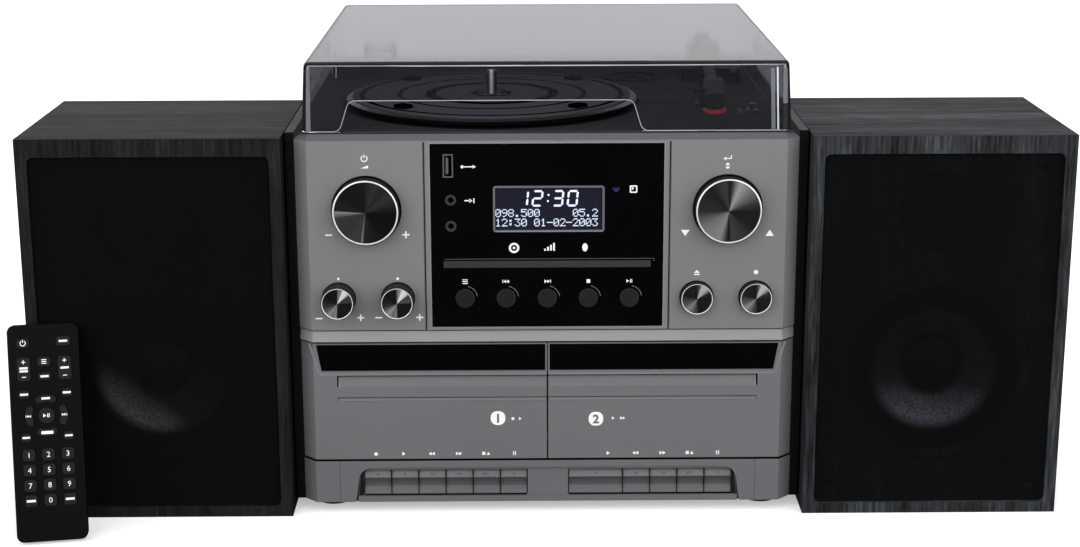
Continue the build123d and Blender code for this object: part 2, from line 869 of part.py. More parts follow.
# ---------------------------------------------------------------- cassette mechanisms
with BuildPart() as cassette_mechanisms:
    case_floor = foot_height + floor_wall
    reel_z = door_bottom + reel_rise
    chassis_near = door_split + chassis_near_gap
    chassis_far = cassette_x + cassette_width / 2 + chassis_margin
    for side in (-1, 1):
        middle = side * (chassis_near + chassis_far) / 2
        with BuildSketch(facing(chassis_y + chassis_wall)):
            with Locations((middle, (case_floor + door_top) / 2)):
                Rectangle(chassis_far - chassis_near, door_top - case_floor)
            with Locations((middle, case_floor + plinth_height / 2 - 3)):
                Rectangle(chassis_far - chassis_near - 12, plinth_height - 6, mode=Mode.SUBTRACT)
        extrude(amount=chassis_wall)
        with BuildSketch(facing(chassis_y)):
            with Locations((side * cassette_x, reel_z)):
                with GridLocations(reel_pitch, 1, 2, 1):
                    Circle(reel_radius)
        extrude(amount=reel_seat)
        with BuildSketch(facing(chassis_y)):
            with Locations((side * cassette_x, reel_z)):
                with GridLocations(reel_pitch, 1, 2, 1):
                    Circle(reel_radius - reel_tube)
        extrude(amount=chassis_y - moulding_wall - cassette_depth + reel_overlap)
        # Head bridge and the capstan beside it, below the cassette
        with BuildSketch(facing(chassis_y)):
            with Locations((side * cassette_x, plinth_top + head_reach)):
                Rectangle(head_width, head_height)
        extrude(amount=chassis_y - moulding_wall - head_reach)
        with BuildSketch(facing(chassis_y)):
            with Locations((side * cassette_x + capstan_offset, plinth_top + head_height)):
                Circle(capstan_radius)
        extrude(amount=chassis_y - moulding_wall - head_reach / 2)
    # The rod that the keys turn on, and the brackets that hold it
    rod_half = key_pitch * 6 + blank_half + rod_overhang
    bracket_top = key_pivot_z + bracket_rise
    for x in (-rod_half + bracket_wall / 2, bank_centre, rod_half - bracket_wall / 2):
        with BuildSketch(section(x - bracket_wall / 2)):
            with Locations((key_pivot_y, (case_floor + bracket_top) / 2)):
                Rectangle(bracket_width, bracket_top - case_floor)
        extrude(amount=bracket_wall)
    with BuildSketch(section(-rod_half)):
        with Locations((key_pivot_y, key_pivot_z)):
            Circle(key_rod_radius)
    extrude(amount=2 * rod_half)
save(cassette_mechanisms.part, "cassette_mechanisms")

# ---------------------------------------------------------------- controls
encoder_front = 10.0
encoder_size = 14.0
shaft_end = board_y - push_travel - 2.0
flange_wall = 1.2


def make_knob(name, x, z, radius, reach, sink, own_shaft):
    """A capped knob: dished top edge, hollow back and a hub on the shaft."""
    with BuildPart() as knob:
        with BuildSketch(facing(sink)):
            with Locations((x, z)):
                Circle(radius)
        extrude(amount=reach + sink)
        chamfer(knob.edges().group_by(Axis.Y)[0], 0.8)
        with BuildSketch(facing(sink)):
            with Locations((x, z)):
                Circle(radius - knob_wall)
                Circle(2 * shaft_radius, mode=Mode.SUBTRACT)
        extrude(amount=reach + sink - 2 * knob_wall, mode=Mode.SUBTRACT)
        if own_shaft:
            with BuildSketch(facing(shaft_end)):
                with Locations((x, z)):
                    Circle(shaft_radius)
            extrude(amount=shaft_end - sink)
        else:
            with BuildSketch(facing(sink)):
                with Locations((x, z)):
                    Circle(shaft_radius + running_fit)
            extrude(amount=reach + sink - 2 * knob_wall, mode=Mode.SUBTRACT)
    save(knob.part, name)


def make_plunger(name, x, z):
    """The shaft that a push-and-turn knob is carried on, with its retaining collar."""
    with BuildPart() as plunger:
        with BuildSketch(facing(shaft_end)):
            with Locations((x, z)):
                Circle(shaft_radius)
        extrude(amount=shaft_end + big_knob_reach - 2 * knob_wall - seat_gap)
        with BuildSketch(facing(big_knob_sink + seat_gap + 1.4)):
            with Locations((x, z)):
                Circle(shaft_radius + 2.2)
        extrude(amount=1.4)
    save(plunger.part, name)


def make_button(name, x, z, radius, reach, wall):
    """A push button with a flange behind the panel and a stem for its switch."""
    with BuildPart() as button:
        rear = wall + push_travel + 3.0
        with BuildSketch(facing(rear)):
            with Locations((x, z)):
                Circle(radius)
        extrude(amount=rear + reach)
        fillet(button.edges().group_by(Axis.Y)[0], 0.5)
        with BuildSketch(facing(rear)):
            with Locations((x, z)):
                Circle(radius - knob_wall)
        extrude(amount=rear + reach - 2 * knob_wall, mode=Mode.SUBTRACT)
        with BuildSketch(facing(wall + seat_gap + flange_wall)):
            with Locations((x, z)):
                Circle(radius + 2.0)
                Circle(radius - knob_wall, mode=Mode.SUBTRACT)
        extrude(amount=flange_wall)
        with BuildSketch(facing(board_y - 8)):
            with Locations((x, z)):
                Circle(knob_wall)
        extrude(amount=board_y - 8 + reach - knob_wall)
    save(button.part, name)


for name, side in (("volume", -1), ("scroll", 1)):
    make_plunger(name + "_plunger", side * big_knob_x, big_knob_z)
    make_knob(
        name + "_knob",
        side * big_knob_x,
        big_knob_z,
        big_knob_radius,
        big_knob_reach,
        big_knob_sink,
        False,
    )
for name, x in zip(("bass", "treble"), tone_knob_x):
    reach = small_knob_reach
    make_knob(name + "_knob", x, control_z, small_knob_radius, reach, 1.6, True)
for name, x in zip(("eject", "record"), round_button_x):
    reach = round_button_reach
    make_button(name + "_button", x, control_z, small_knob_radius, reach, moulding_wall)
for number, x in enumerate(button_xs, start=1):
    name = "function_button_%d" % number
    make_button(name, x, control_z, function_radius, function_reach, panel_back)

# Circuit board behind the fascia, with its encoders, potentiometers and push switches
shaft_places = [(-big_knob_x, big_knob_z), (big_knob_x, big_knob_z)]
shaft_places += [(x, control_z) for x in tone_knob_x]
switch_places = [(x, control_z) for x in button_xs + list(round_button_x)]
with BuildPart() as control_board:
    with BuildSketch(facing(board_y + board_wall)):
        with Locations((0, (board_low + board_high) / 2)):
            Rectangle(2 * board_half, board_high - board_low)
    extrude(amount=board_wall)
    with BuildSketch(facing(board_y)):
        with Locations(*shaft_places):
            Rectangle(encoder_size, encoder_size)
        with Locations(*switch_places):
            Rectangle(6, 6)
    extrude(amount=board_y - encoder_front - 4)
    with BuildSketch(facing(board_y)):
        with Locations(*switch_places):
            Rectangle(8, 8)
    extrude(amount=board_y - encoder_front, mode=Mode.SUBTRACT)
    with BuildSketch(facing(board_y)):
        with Locations(*switch_places):
            Rectangle(6, 6)
    extrude(amount=8 - push_travel - 1.0)
    with BuildSketch(facing(board_y)):
        with Locations(*shaft_places):
            Circle(shaft_radius + 2.0)
    extrude(amount=board_y - encoder_front)
    with BuildSketch(facing(board_y)):
        with Locations(*shaft_places):
            Circle(shaft_radius + running_fit)
    extrude(amount=board_y, mode=Mode.SUBTRACT)
save(control_board.part, "control_board")

# ---------------------------------------------------------------- sockets
with BuildPart() as sockets:
    # Two jacks in the control panel: a ring in the panel, then the body behind it, bored right through
    jack_start = panel_back + seat_gap
    with BuildSketch(facing(jack_start)):
        with Locations((socket_x, aux_z), (socket_x, phones_z)):
            Circle(jack_ring_radius)
            Circle(jack_radius, mode=Mode.SUBTRACT)
    extrude(amount=jack_start - panel_sunk)
    with BuildSketch(facing(jack_start + jack_length)):
        with Locations((socket_x, aux_z), (socket_x, phones_z)):
            Circle(jack_body_radius)
            Circle(jack_radius, mode=Mode.SUBTRACT)
    extrude(amount=jack_length)
    with BuildSketch(facing(board_y)):
        with Locations((socket_x, aux_z), (socket_x, phones_z)):
            Circle(jack_body_radius)
    extrude(amount=board_y - jack_start - jack_length)
    # Serial-bus port: a folded shell with its contact tongue
    with BuildSketch(facing(board_y)):
        with Locations((usb_x, usb_z)):
            Rectangle(usb_width, usb_height)
            Rectangle(usb_width - 1.0, usb_height - 1.0, mode=Mode.SUBTRACT)
    extrude(amount=board_y - panel_sunk)
    with BuildSketch(facing(board_y)):
        with Locations((usb_x, usb_z)):
            Rectangle(usb_width - 1.0, usb_height - 1.0)
    extrude(amount=6)
    with BuildSketch(facing(board_y - 6)):
        with Locations((usb_x - 1.2, usb_z)):
            Rectangle(1.8, usb_height - 2.6)
    extrude(amount=board_y - 6 - panel_sunk - 2)
    # Phono sockets and the mains inlet in the back wall
    for outer, radius, deep in (
        (case_depth + phono_reach, phono_radius, phono_reach),
        (case_depth, phono_radius + phono_boss, back_wall),
    ):
        with BuildSketch(facing(outer)):
            for x in phono_x:
                with Locations((x, phono_z)):
                    with GridLocations(phono_pitch, phono_pitch, 2, 2):
                        Circle(radius)
                        Circle(phono_radius - phono_wall, mode=Mode.SUBTRACT)
        extrude(amount=deep)
    with BuildSketch(facing(case_depth - back_wall)):
        for x in phono_x:
            with Locations((x, phono_z)):
                Rectangle(2.6 * phono_pitch, 2.6 * phono_pitch)
    extrude(amount=4)
    with BuildSketch(facing(case_depth - back_wall)):
        with Locations((inlet_x, phono_z)):
            Rectangle(inlet_width + 6, inlet_height + 6)
    extrude(amount=16)
    with BuildSketch(facing(case_depth)):
        with Locations((inlet_x, phono_z)):
            Rectangle(inlet_width, inlet_height)
    extrude(amount=back_wall)
    with BuildSketch(facing(case_depth)):
        with Locations((inlet_x, phono_z)):
            SlotOverall(inlet_width - 4, inlet_height - 4)
            with GridLocations(8, 1, 2, 1):
                Circle(1.2, mode=Mode.SUBTRACT)
    extrude(amount=14, mode=Mode.SUBTRACT)
save(sockets.part, "sockets")

# ---------------------------------------------------------------- turntable deck
well_floor = deck_top - well_depth
with BuildPart() as turntable_deck:
    deck_front = corner_cut + seat_gap
    deck_back = case_depth - back_wall - seat_gap
    with BuildSketch(level(deck_bottom)):
        with Locations((0, (deck_front + deck_back) / 2)):
            Rectangle(2 * (inner_half - seat_gap), deck_back - deck_front)
    extrude(amount=deck_wall)
    with BuildSketch(level(well_floor)):
        with Locations((platter_x, platter_y)):
            Circle(well_radius)
        with Locations((adapter_x, adapter_y)):
            Circle(adapter_radius + seat_gap)
    extrude(amount=well_depth, mode=Mode.SUBTRACT)
    with BuildSketch(level(spindle_foot)):
        with Locations((platter_x, platter_y)):
            Circle(bearing_radius)
    extrude(amount=deck_bottom - spindle_foot)
    with BuildSketch(level(spindle_foot + 1.5)):
        with Locations((platter_x, platter_y)):
            Circle(spindle_shaft_radius + running_fit)
    extrude(amount=deck_top - spindle_foot, mode=Mode.SUBTRACT)
    with BuildSketch(level(deck_bottom)):
        with Locations((arm_x, arm_y)):
            Circle(shaft_radius + running_fit)
        with Locations((selector_x, selector_y + selector_travel / 2)):
            Rectangle(selector_stem + 2 * swing_gap, 5 + selector_travel + 2 * swing_gap)
    extrude(amount=deck_wall, mode=Mode.SUBTRACT)
save(turntable_deck.part, "turntable_deck")

with BuildPart() as record_adapter:
    with BuildSketch(level(well_floor)):
        with Locations((adapter_x, adapter_y)):
            Circle(adapter_radius)
            Circle(spindle_radius + seat_gap, mode=Mode.SUBTRACT)
    extrude(amount=adapter_wall)
    with BuildSketch(level(well_floor + adapter_wall - 1)):
        with Locations((adapter_x, adapter_y)):
            Circle(adapter_radius - 2.5)
            Circle(spindle_radius + 3, mode=Mode.SUBTRACT)
    extrude(amount=1, mode=Mode.SUBTRACT)
save(record_adapter.part, "record_adapter")


def turning_section(x, y):
    """Half-plane through an upright axis: sketch x is the radius, sketch y is z."""
    return Plane(origin=(centre_x + x, face_y + y, 0), x_dir=(1, 0, 0), z_dir=(0, -1, 0))


with BuildPart() as platter:
    rim_low = platter_top - platter_rim
    with BuildSketch(turning_section(platter_x, platter_y)):
        with BuildLine():
            Polyline(
                (spindle_shaft_radius, platter_top),
                (platter_radius - 1.6, platter_top),
                (platter_radius, platter_top - 1.2),
                (platter_radius - 0.8, rim_low),
                (platter_radius - 3.4, rim_low),
                (platter_radius - 3.4, platter_top - platter_wall),
                (hub_radius, platter_top - platter_wall),
                (hub_radius, well_floor + swing_gap),
                (spindle_shaft_radius, well_floor + swing_gap),
                close=True,
            )
        make_face()
    revolve(axis=Axis((centre_x + platter_x, face_y + platter_y, 0), (0, 0, 1)))
save(platter.part, "platter")

mat_top = platter_top + mat_wall
with BuildPart() as platter_mat:
    with BuildSketch(level(platter_top)):
        with Locations((platter_x, platter_y)):
            Circle(mat_radius)
            Circle(spindle_radius + 1, mode=Mode.SUBTRACT)
    extrude(amount=mat_wall)
    # Grooves that leave raised rings
    with BuildSketch(level(mat_top - 0.5)):
        with Locations((platter_x, platter_y)):
            for radius, width in ((84.0, 2.2), (60.0, 1.4), (40.0, 4.0), (12.0, 1.2)):
                Circle(radius + width / 2)
                Circle(radius - width / 2, mode=Mode.SUBTRACT)
    extrude(amount=0.5, mode=Mode.SUBTRACT)
    # Four blocks that a record lies on
    with BuildSketch(level(platter_top)):
        with Locations((platter_x, platter_y)):
            with PolarLocations(77.0, 4, start_angle=45):
                Rectangle(6, 9)
    extrude(amount=mat_wall + 0.9)
save(platter_mat.part, "platter_mat")

with BuildPart() as record_spindle:
    # The shaft ends flush with the platter, and the pin for the record stands on it
    with BuildSketch(level(spindle_foot + 2)):
        with Locations((platter_x, platter_y)):
            Circle(spindle_shaft_radius)
    extrude(amount=platter_top - spindle_foot - 2)
    with BuildSketch(level(platter_top)):
        with Locations((platter_x, platter_y)):
            Circle(spindle_radius)
    extrude(amount=spindle_top - platter_top)
    fillet(record_spindle.edges().group_by(Axis.Z)[-1], spindle_tip)
save(record_spindle.part, "record_spindle")

# ---------------------------------------------------------------- tonearm
arm_reach = hypot(arm_reach_x, arm_reach_y)
arm_along = (arm_reach_x / arm_reach, arm_reach_y / arm_reach, 0)
arm_across = (-arm_along[1], arm_along[0], 0)
arm_base_top = deck_top + arm_base_height
gimbal_low = arm_base_top + seat_gap
gimbal_wall = 2.0
head_length = 22.0
rest_distance = 118.0


def arm_point(distance, across=0.0, z=arm_z):
    """A point on the arm, this far from its pivot towards the stylus."""
    x = arm_x + distance * arm_along[0] + across * arm_across[0]
    y = arm_y + distance * arm_along[1] + across * arm_across[1]
    return (centre_x + x, face_y + y, z)


def across_arm(distance, z=arm_z):
    """Plane square to the arm: sketch y is up, and it faces the stylus."""
    return Plane(origin=arm_point(distance, 0, z), x_dir=arm_across, z_dir=arm_along)


def beside_arm(across):
    """Upright plane along the arm: sketch x runs to the stylus, sketch y is up from the pivot."""
    normal = (arm_along[1], -arm_along[0], 0)
    return Plane(origin=arm_point(0, across), x_dir=arm_along, z_dir=normal)


with BuildPart() as tonearm_base:
    with BuildSketch(level(deck_top)):
        with Locations((arm_x + arm_base_aside, arm_y)):
            RectangleRounded(arm_base_width, arm_base_length, arm_base_corner)
    extrude(amount=arm_base_height)
    fillet(tonearm_base.edges().group_by(Axis.Z)[-1], 2.0)
    # Bush for the upright shaft of the gimbal
    with BuildSketch(level(deck_top)):
        with Locations((arm_x, arm_y)):
            Circle(shaft_radius + running_fit)
    extrude(amount=arm_base_height, mode=Mode.SUBTRACT)
    # Slot that the cue lever turns in
    with BuildSketch(level(deck_top + 3)):
        with Locations((arm_x + 18, arm_y - 19)):
            Rectangle(4 + 2 * swing_gap, 18)
    extrude(amount=arm_base_height, mode=Mode.SUBTRACT)
    with BuildSketch(section(arm_x + 12)):
        with Locations((arm_y - 16, deck_top + 6.5)):
            Circle(1.0)
    extrude(amount=12)
    # The rest that the parked arm lies on, open towards the record
    rest_plane = across_arm(rest_distance, deck_top)
    with BuildSketch(rest_plane):
        with Locations((0, (arm_z - arm_radius - cover_gap - deck_top) / 2)):
            Rectangle(5, arm_z - arm_radius - cover_gap - deck_top)
        with Locations((-arm_radius - 2.2, (arm_z + 2 - deck_top) / 2)):
            Rectangle(2.6, arm_z + 2 - deck_top)
        with Locations((-3, (arm_z - arm_radius - cover_gap - deck_top) / 2)):
            Rectangle(8, arm_z - arm_radius - cover_gap - deck_top)
    extrude(amount=4)
    with BuildSketch(rest_plane):
        with Locations((-2, 1)):
            Rectangle(14, 2)
    extrude(amount=8, both=True)
save(tonearm_base.part, "tonearm_base")

with BuildPart() as tonearm_gimbal:
    with BuildSketch(level(gimbal_low)):
        with Locations((arm_x, arm_y)):
            Circle(yoke_half + yoke_wall)
    extrude(amount=gimbal_wall)
    with BuildSketch(level(deck_top + 1)):
        with Locations((arm_x, arm_y)):
            Circle(shaft_radius)
    extrude(amount=gimbal_low - deck_top - 1)
    # Two ears with the pins of the level axis
    for across in (-yoke_half, yoke_half - yoke_wall):
        with BuildSketch(beside_arm(across + yoke_wall)):
            Circle(3.4)
            with Locations((0, (gimbal_low - arm_z) / 2)):
                Rectangle(6.8, arm_z - gimbal_low)
        extrude(amount=yoke_wall)
    with BuildSketch(beside_arm(yoke_half)):
        Circle(1.2)
    extrude(amount=2 * yoke_half)
save(tonearm_gimbal.part, "tonearm_gimbal")

with BuildPart() as tonearm:
    with BuildSketch(across_arm(-arm_tail)):
        Circle(arm_radius)
    extrude(amount=arm_tail + arm_reach - head_length)
    with BuildSketch(across_arm(-arm_tail)):
        Circle(weight_radius)
    extrude(amount=weight_length)
    fillet(tonearm.edges().filter_by(GeomType.CIRCLE).sort_by(SortBy.RADIUS)[-2:], 1.0)
    # Trunnion block on the level axis
    with BuildSketch(beside_arm(yoke_half - yoke_wall - swing_gap)):
        RectangleRounded(10, 9, 2)
    extrude(amount=2 * (yoke_half - yoke_wall - swing_gap))
    # Head shell: a tray that steps down from the tube
    with BuildSketch(beside_arm(6)):
        with BuildLine():
            near = arm_reach - head_length - 6
            far = arm_reach + 5
            Polyline(
                (near, arm_radius),
                (near + 8, arm_radius),
                (far, -1.2),
                (far, -arm_radius),
                (near, -arm_radius),
                close=True,
            )
        make_face()
    extrude(amount=12)
    with BuildSketch(beside_arm(yoke_half)):
        Circle(1.2 + running_fit)
    extrude(amount=2 * yoke_half, mode=Mode.SUBTRACT)
    # Finger lift
    with BuildSketch(beside_arm(-6 + 1)):
        with BuildLine():
            Polyline(
                (arm_reach - 8, -2.6),
                (arm_reach - 4, -2.6),
                (arm_reach + 2, 1.6),
                (arm_reach - 1, 1.6),
                close=True,
            )
        make_face()
    extrude(amount=8)
save(tonearm.part, "tonearm")

with BuildPart() as cartridge:
    cartridge_top = -arm_radius
    stylus_drop = stylus_z - arm_z
    with BuildSketch(beside_arm(4.5)):
        with BuildLine():
            Polyline(
                (arm_reach - 16, cartridge_top),
                (arm_reach + 3, cartridge_top),
                (arm_reach + 4, stylus_drop + 3.4),
                (arm_reach - 1, stylus_drop + 1.6),
                (arm_reach - 14, stylus_drop + 4.2),
                close=True,
            )
        make_face()
    extrude(amount=9)
    with BuildSketch(beside_arm(0.6)):
        with BuildLine():
            Polyline(
                (arm_reach - 9, stylus_drop + 4.0),
                (arm_reach + 1, stylus_drop + 2.6),
                (arm_reach + 0.6, stylus_drop),
                close=True,
            )
        make_face()
    extrude(amount=1.2)
save(cartridge.part, "cartridge")

with BuildPart() as cue_lever:
    lever_x = arm_x + 18
    lever_y = arm_y - 16
    lever_z = deck_top + 6.5
    with BuildSketch(section(lever_x - 2)):
        with Locations((lever_y, lever_z)):
            Circle(2.8)
        with BuildLine():
            Polyline(
                (lever_y, lever_z + 2.8),
                (lever_y, lever_z - 1.0),
                (lever_y - 16, lever_z + 1.2),
                (lever_y - 26, lever_z + 1.0),
                (lever_y - 26, lever_z + 3.0),
                (lever_y - 15, lever_z + 4.2),
                close=True,
            )
        make_face()
        with Locations((lever_y, lever_z)):
            Circle(1.0 + running_fit, mode=Mode.SUBTRACT)
    extrude(amount=4)
save(cue_lever.part, "cue_lever")

with BuildPart() as speed_selector:
    with BuildSketch(level(deck_top + seat_gap)):
        with Locations((selector_x, selector_y)):
            RectangleRounded(7, 12, 1)
    extrude(amount=1.4)
    with BuildSketch(level(deck_top + seat_gap)):
        with Locations((selector_x, selector_y)):
            RectangleRounded(4, 5, 1)
    extrude(amount=5)
    with BuildSketch(level(deck_bottom)):
        with Locations((selector_x, selector_y)):
            Rectangle(selector_stem, 5)
    extrude(amount=deck_wall + seat_gap)
save(speed_selector.part, "speed_selector")

# ---------------------------------------------------------------- dust cover and hinges
with BuildPart() as dust_cover:
    cover_length = cover_back - cover_front
    cover_middle = (cover_front + cover_back) / 2
    with BuildSketch(level(cover_bottom)):
        with Locations((0, cover_middle)):
            RectangleRounded(2 * cover_half, cover_length, cover_radius)
    extrude(amount=cover_height, taper=cover_draft)
    fillet(dust_cover.edges().group_by(Axis.Z)[-1], cover_radius / 2)
    under = dust_cover.faces().sort_by(Axis.Z)[0]
    offset(amount=-cover_wall, openings=under)
    # Notches in the front and left walls, which an overhanging record passes through
    notch_top = cover_bottom + notch_height
    with BuildSketch(facing(cover_front + cover_radius + 4)) as front_cut:
        with BuildLine():
            Polyline(
                (front_notch[0] - 2, cover_bottom - 8),
                (front_notch[0], cover_bottom),
                (front_notch[0] + notch_slope, notch_top),
                (front_notch[1] - notch_slope, notch_top),
                (front_notch[1], cover_bottom),
                (front_notch[1] + 2, cover_bottom - 8),
                close=True,
            )
        make_face()
        fillet(front_cut.vertices().group_by(Axis.Y)[-1], notch_radius)
    extrude(amount=cover_radius + 12, mode=Mode.SUBTRACT)
    with BuildSketch(section(-cover_half - 4)) as side_cut:
        with BuildLine():
            Polyline(
                (side_notch[0] - 2, cover_bottom - 8),
                (side_notch[0], cover_bottom),
                (side_notch[0] + notch_slope, notch_top),
                (side_notch[1] - notch_slope, notch_top),
                (side_notch[1], cover_bottom),
                (side_notch[1] + 2, cover_bottom - 8),
                close=True,
            )
        make_face()
        fillet(side_cut.vertices().group_by(Axis.Y)[-1], notch_radius)
    extrude(amount=cover_radius + 8, mode=Mode.SUBTRACT)
    # Knuckles on the back wall
    for side in (-1, 1):
        with BuildSketch(section(side * cover_hinge_x - cover_knuckle_width / 2)):
            with Locations((cover_hinge_y, cover_hinge_z)):
                Circle(cover_knuckle_radius)
            with Locations(((cover_back - 1.6 + cover_hinge_y) / 2, cover_hinge_z + 5)):
                Rectangle(cover_hinge_y - cover_back + 1.6, 12)
        extrude(amount=cover_knuckle_width)
        with BuildSketch(section(side * cover_hinge_x - cover_knuckle_width / 2)):
            with Locations((cover_hinge_y, cover_hinge_z)):
                Circle(cover_pin_radius + running_fit)
        extrude(amount=cover_knuckle_width, mode=Mode.SUBTRACT)
save(dust_cover.part, "dust_cover")

with BuildPart() as hinge_brackets:
    for side in (-1, 1):
        ear = cover_knuckle_width / 2 + swing_gap
        for near in (-ear - cover_ear_wall, ear):
            with BuildSketch(section(side * cover_hinge_x + near)):
                with Locations((cover_hinge_y, cover_hinge_z)):
                    Circle(cover_knuckle_radius)
                with Locations((cover_hinge_y, (cover_hinge_z + deck_top) / 2)):
                    Rectangle(2 * cover_knuckle_radius, cover_hinge_z - deck_top)
            extrude(amount=cover_ear_wall)
        with BuildSketch(section(side * cover_hinge_x - ear - cover_ear_wall)):
            with Locations((cover_hinge_y, cover_hinge_z)):
                Circle(cover_pin_radius)
        extrude(amount=2 * (ear + cover_ear_wall))
save(hinge_brackets.part, "hinge_brackets")

# ---------------------------------------------------------------- speakers
speaker_back = speaker_front + speaker_depth
baffle_y = speaker_front + rim_depth
grille_height = speaker_height - rim_side - rim_top


def make_speaker(side, name):
    x = side * speaker_x
    grille_z = rim_side + grille_height / 2
    with BuildPart() as cabinet:
        with BuildSketch(facing(speaker_back)):
            with Locations((x, speaker_height / 2)):
                Rectangle(speaker_width, speaker_height)
        extrude(amount=speaker_depth)
        with BuildSketch(facing(baffle_y)):
            with Locations((x, grille_z)):
                RectangleRounded(speaker_width - 2 * rim_side, grille_height, 4)
        extrude(amount=rim_depth, mode=Mode.SUBTRACT)
        with BuildSketch(facing(speaker_back - board)):
            with Locations((x, speaker_height / 2)):
                Rectangle(speaker_width - 2 * board, speaker_height - 2 * board)
        extrude(amount=speaker_depth - 2 * board - rim_depth, mode=Mode.SUBTRACT)
        with BuildSketch(facing(baffle_y + board)):
            with Locations((x, woofer_z)):
                Circle(woofer_radius - 5 + seat_gap)
            with Locations((x, tweeter_z)):
                Circle(tweeter_radius - 4 + seat_gap)
        extrude(amount=board, mode=Mode.SUBTRACT)
        with BuildSketch(facing(speaker_back)):
            with Locations((x, phono_z)):
                Circle(phono_radius + seat_gap)
        extrude(amount=board, mode=Mode.SUBTRACT)
    save(cabinet.part, name + "_speaker_cabinet")

    with BuildPart() as drivers:
        with BuildSketch(facing(baffle_y)):
            with Locations((x, woofer_z)):
                Circle(woofer_radius)
            with Locations((x, tweeter_z)):
                Circle(tweeter_radius)
        extrude(amount=1.2)
        for z, radius, flange, depth in (
            (woofer_z, woofer_radius - 5, 5, woofer_depth),
            (tweeter_z, tweeter_radius - 4, 4, tweeter_depth),
        ):
            with BuildSketch(facing(baffle_y + depth)):
                with Locations((x, z)):
                    Circle(radius * 0.45)
            extrude(amount=depth)
            with BuildSketch(facing(baffle_y)):
                with Locations((x, z)):
                    Circle(radius)
            extrude(amount=-depth / 2, taper=20)
        # Cone and dust cap of the woofer, dome of the tweeter
        cone = [
            (0, baffle_y - 2),
            (cone_radius, baffle_y - 2),
            (cone_radius * 0.36, baffle_y + 9),
            (0, baffle_y + 9),
        ]
        woofer_axis = Axis((centre_x + x, face_y, woofer_z), (0, 1, 0))
        upright = Plane(origin=woofer_axis.position, x_dir=(1, 0, 0), z_dir=(0, 0, 1))
        with BuildSketch(upright):
            with BuildLine():
                Polyline(*cone, close=True)
            make_face()
        revolve(axis=woofer_axis, mode=Mode.SUBTRACT)
        cap = cone_radius * 0.4
        with BuildSketch(upright):
            with BuildLine():
                Line((0, baffle_y + 10), (0, baffle_y + 2))
                ThreePointArc((0, baffle_y + 2), (cap * 0.6, baffle_y + 4), (cap, baffle_y + 8.6))
                Line((cap, baffle_y + 8.6), (cap, baffle_y + 10))
                Line((cap, baffle_y + 10), (0, baffle_y + 10))
            make_face()
        revolve(axis=woofer_axis)
        # Phono socket in the back
        with BuildSketch(facing(speaker_back)):
            with Locations((x, phono_z)):
                Circle(phono_radius)
                Circle(phono_radius - phono_wall, mode=Mode.SUBTRACT)
        extrude(amount=board)
    save(drivers.part, name + "_speaker_drivers")

    with BuildPart() as grille:
        grille_back = baffle_y - 1.2 - swing_gap
        outer_width = speaker_width - 2 * rim_side - 2 * grille_gap
        outer_height = grille_height - 2 * grille_gap
        with BuildSketch(facing(grille_back)):
            with Locations((x, grille_z)):
                RectangleRounded(outer_width, outer_height, 3.4)
        extrude(amount=grille_back - speaker_front - grille_sunk)
        with BuildSketch(facing(grille_back)):
            with Locations((x, woofer_z)):
                Circle(woofer_radius + 6)
            with Locations((x, tweeter_z - 2)):
                Circle(tweeter_radius + 6)
        rear = grille_back - speaker_front - grille_sunk - grille_cloth
        extrude(amount=rear, mode=Mode.SUBTRACT)
        # Corner pegs that plug against the baffle
        with BuildSketch(facing(baffle_y)):
            with Locations((x, grille_z)):
                with GridLocations(outer_width - 2 * peg_inset, outer_height - 2 * peg_inset, 2, 2):
                    Circle(peg_radius)
        extrude(amount=baffle_y - grille_back)
    save(grille.part, name + "_speaker_grille")


make_speaker(-1, "left")
make_speaker(1, "right")

# ---------------------------------------------------------------- remote control
turn = radians(remote_turn)
lean = radians(remote_lean)
remote_right = (cos(turn), sin(turn), 0)
remote_out = (sin(turn) * cos(lean), -cos(turn) * cos(lean), sin(lean))


def remote_plane(height):
    """Plane of the remote's face, this far in front of its back: sketch y runs up it."""
    origin = (
        centre_x + remote_x + height * remote_out[0],
        face_y + remote_y + height * remote_out[1],
        height * remote_out[2],
    )
    return Plane(origin=origin, x_dir=remote_right, z_dir=remote_out)


# Every rubber key as (x, distance from the lower end, width, height)
digit_size = (7.4, 7.0)
digit_x = (-11.4, 0.0, 11.4)
digit_rise = 25.0
digit_pitch = 9.2
remote_keys = [(x, digit_rise + digit_pitch * row, *digit_size) for row in range(4) for x in digit_x]
remote_keys += [(s * 12.0, 104.3, 7.8, 14.0) for s in (-1, 1)]
remote_keys += [(0.0, 108.5, 7.8, 5.6), (0.0, 99.6, 7.8, 4.4)]
remote_keys += [(s * 12.5, y, 6.2, 4.8) for s in (-1, 1) for y in (89.2, 63.2)]
remote_keys += [(-11.8, 120.0, 7.6, 5.6), (11.8, 120.3, 8.6, 5.6)]
remote_key_corner = 1.8
key_clearance = 0.25

# A round key with four arched keys about it
pad_centre = (0.0, 76.0)
pad_radius = 10.4
pad_arch = 44.0
pad_key_width = 4.2
pad_middle_radius = 4.8
pad_arches = [
    CenterArc(pad_centre, pad_radius, middle - pad_arch / 2, pad_arch)
    for middle in (0, 90, 180, 270)
]


def keypad_outline(grow):
    """Every key's outline, larger all round by this much."""
    for x, y, width, height in remote_keys:
        with Locations((x, y)):
            RectangleRounded(width + 2 * grow, height + 2 * grow, remote_key_corner + grow)
    with Locations(pad_centre):
        Circle(pad_middle_radius + grow)
    for arch in pad_arches:
        SlotArc(arch, pad_key_width + 2 * grow)

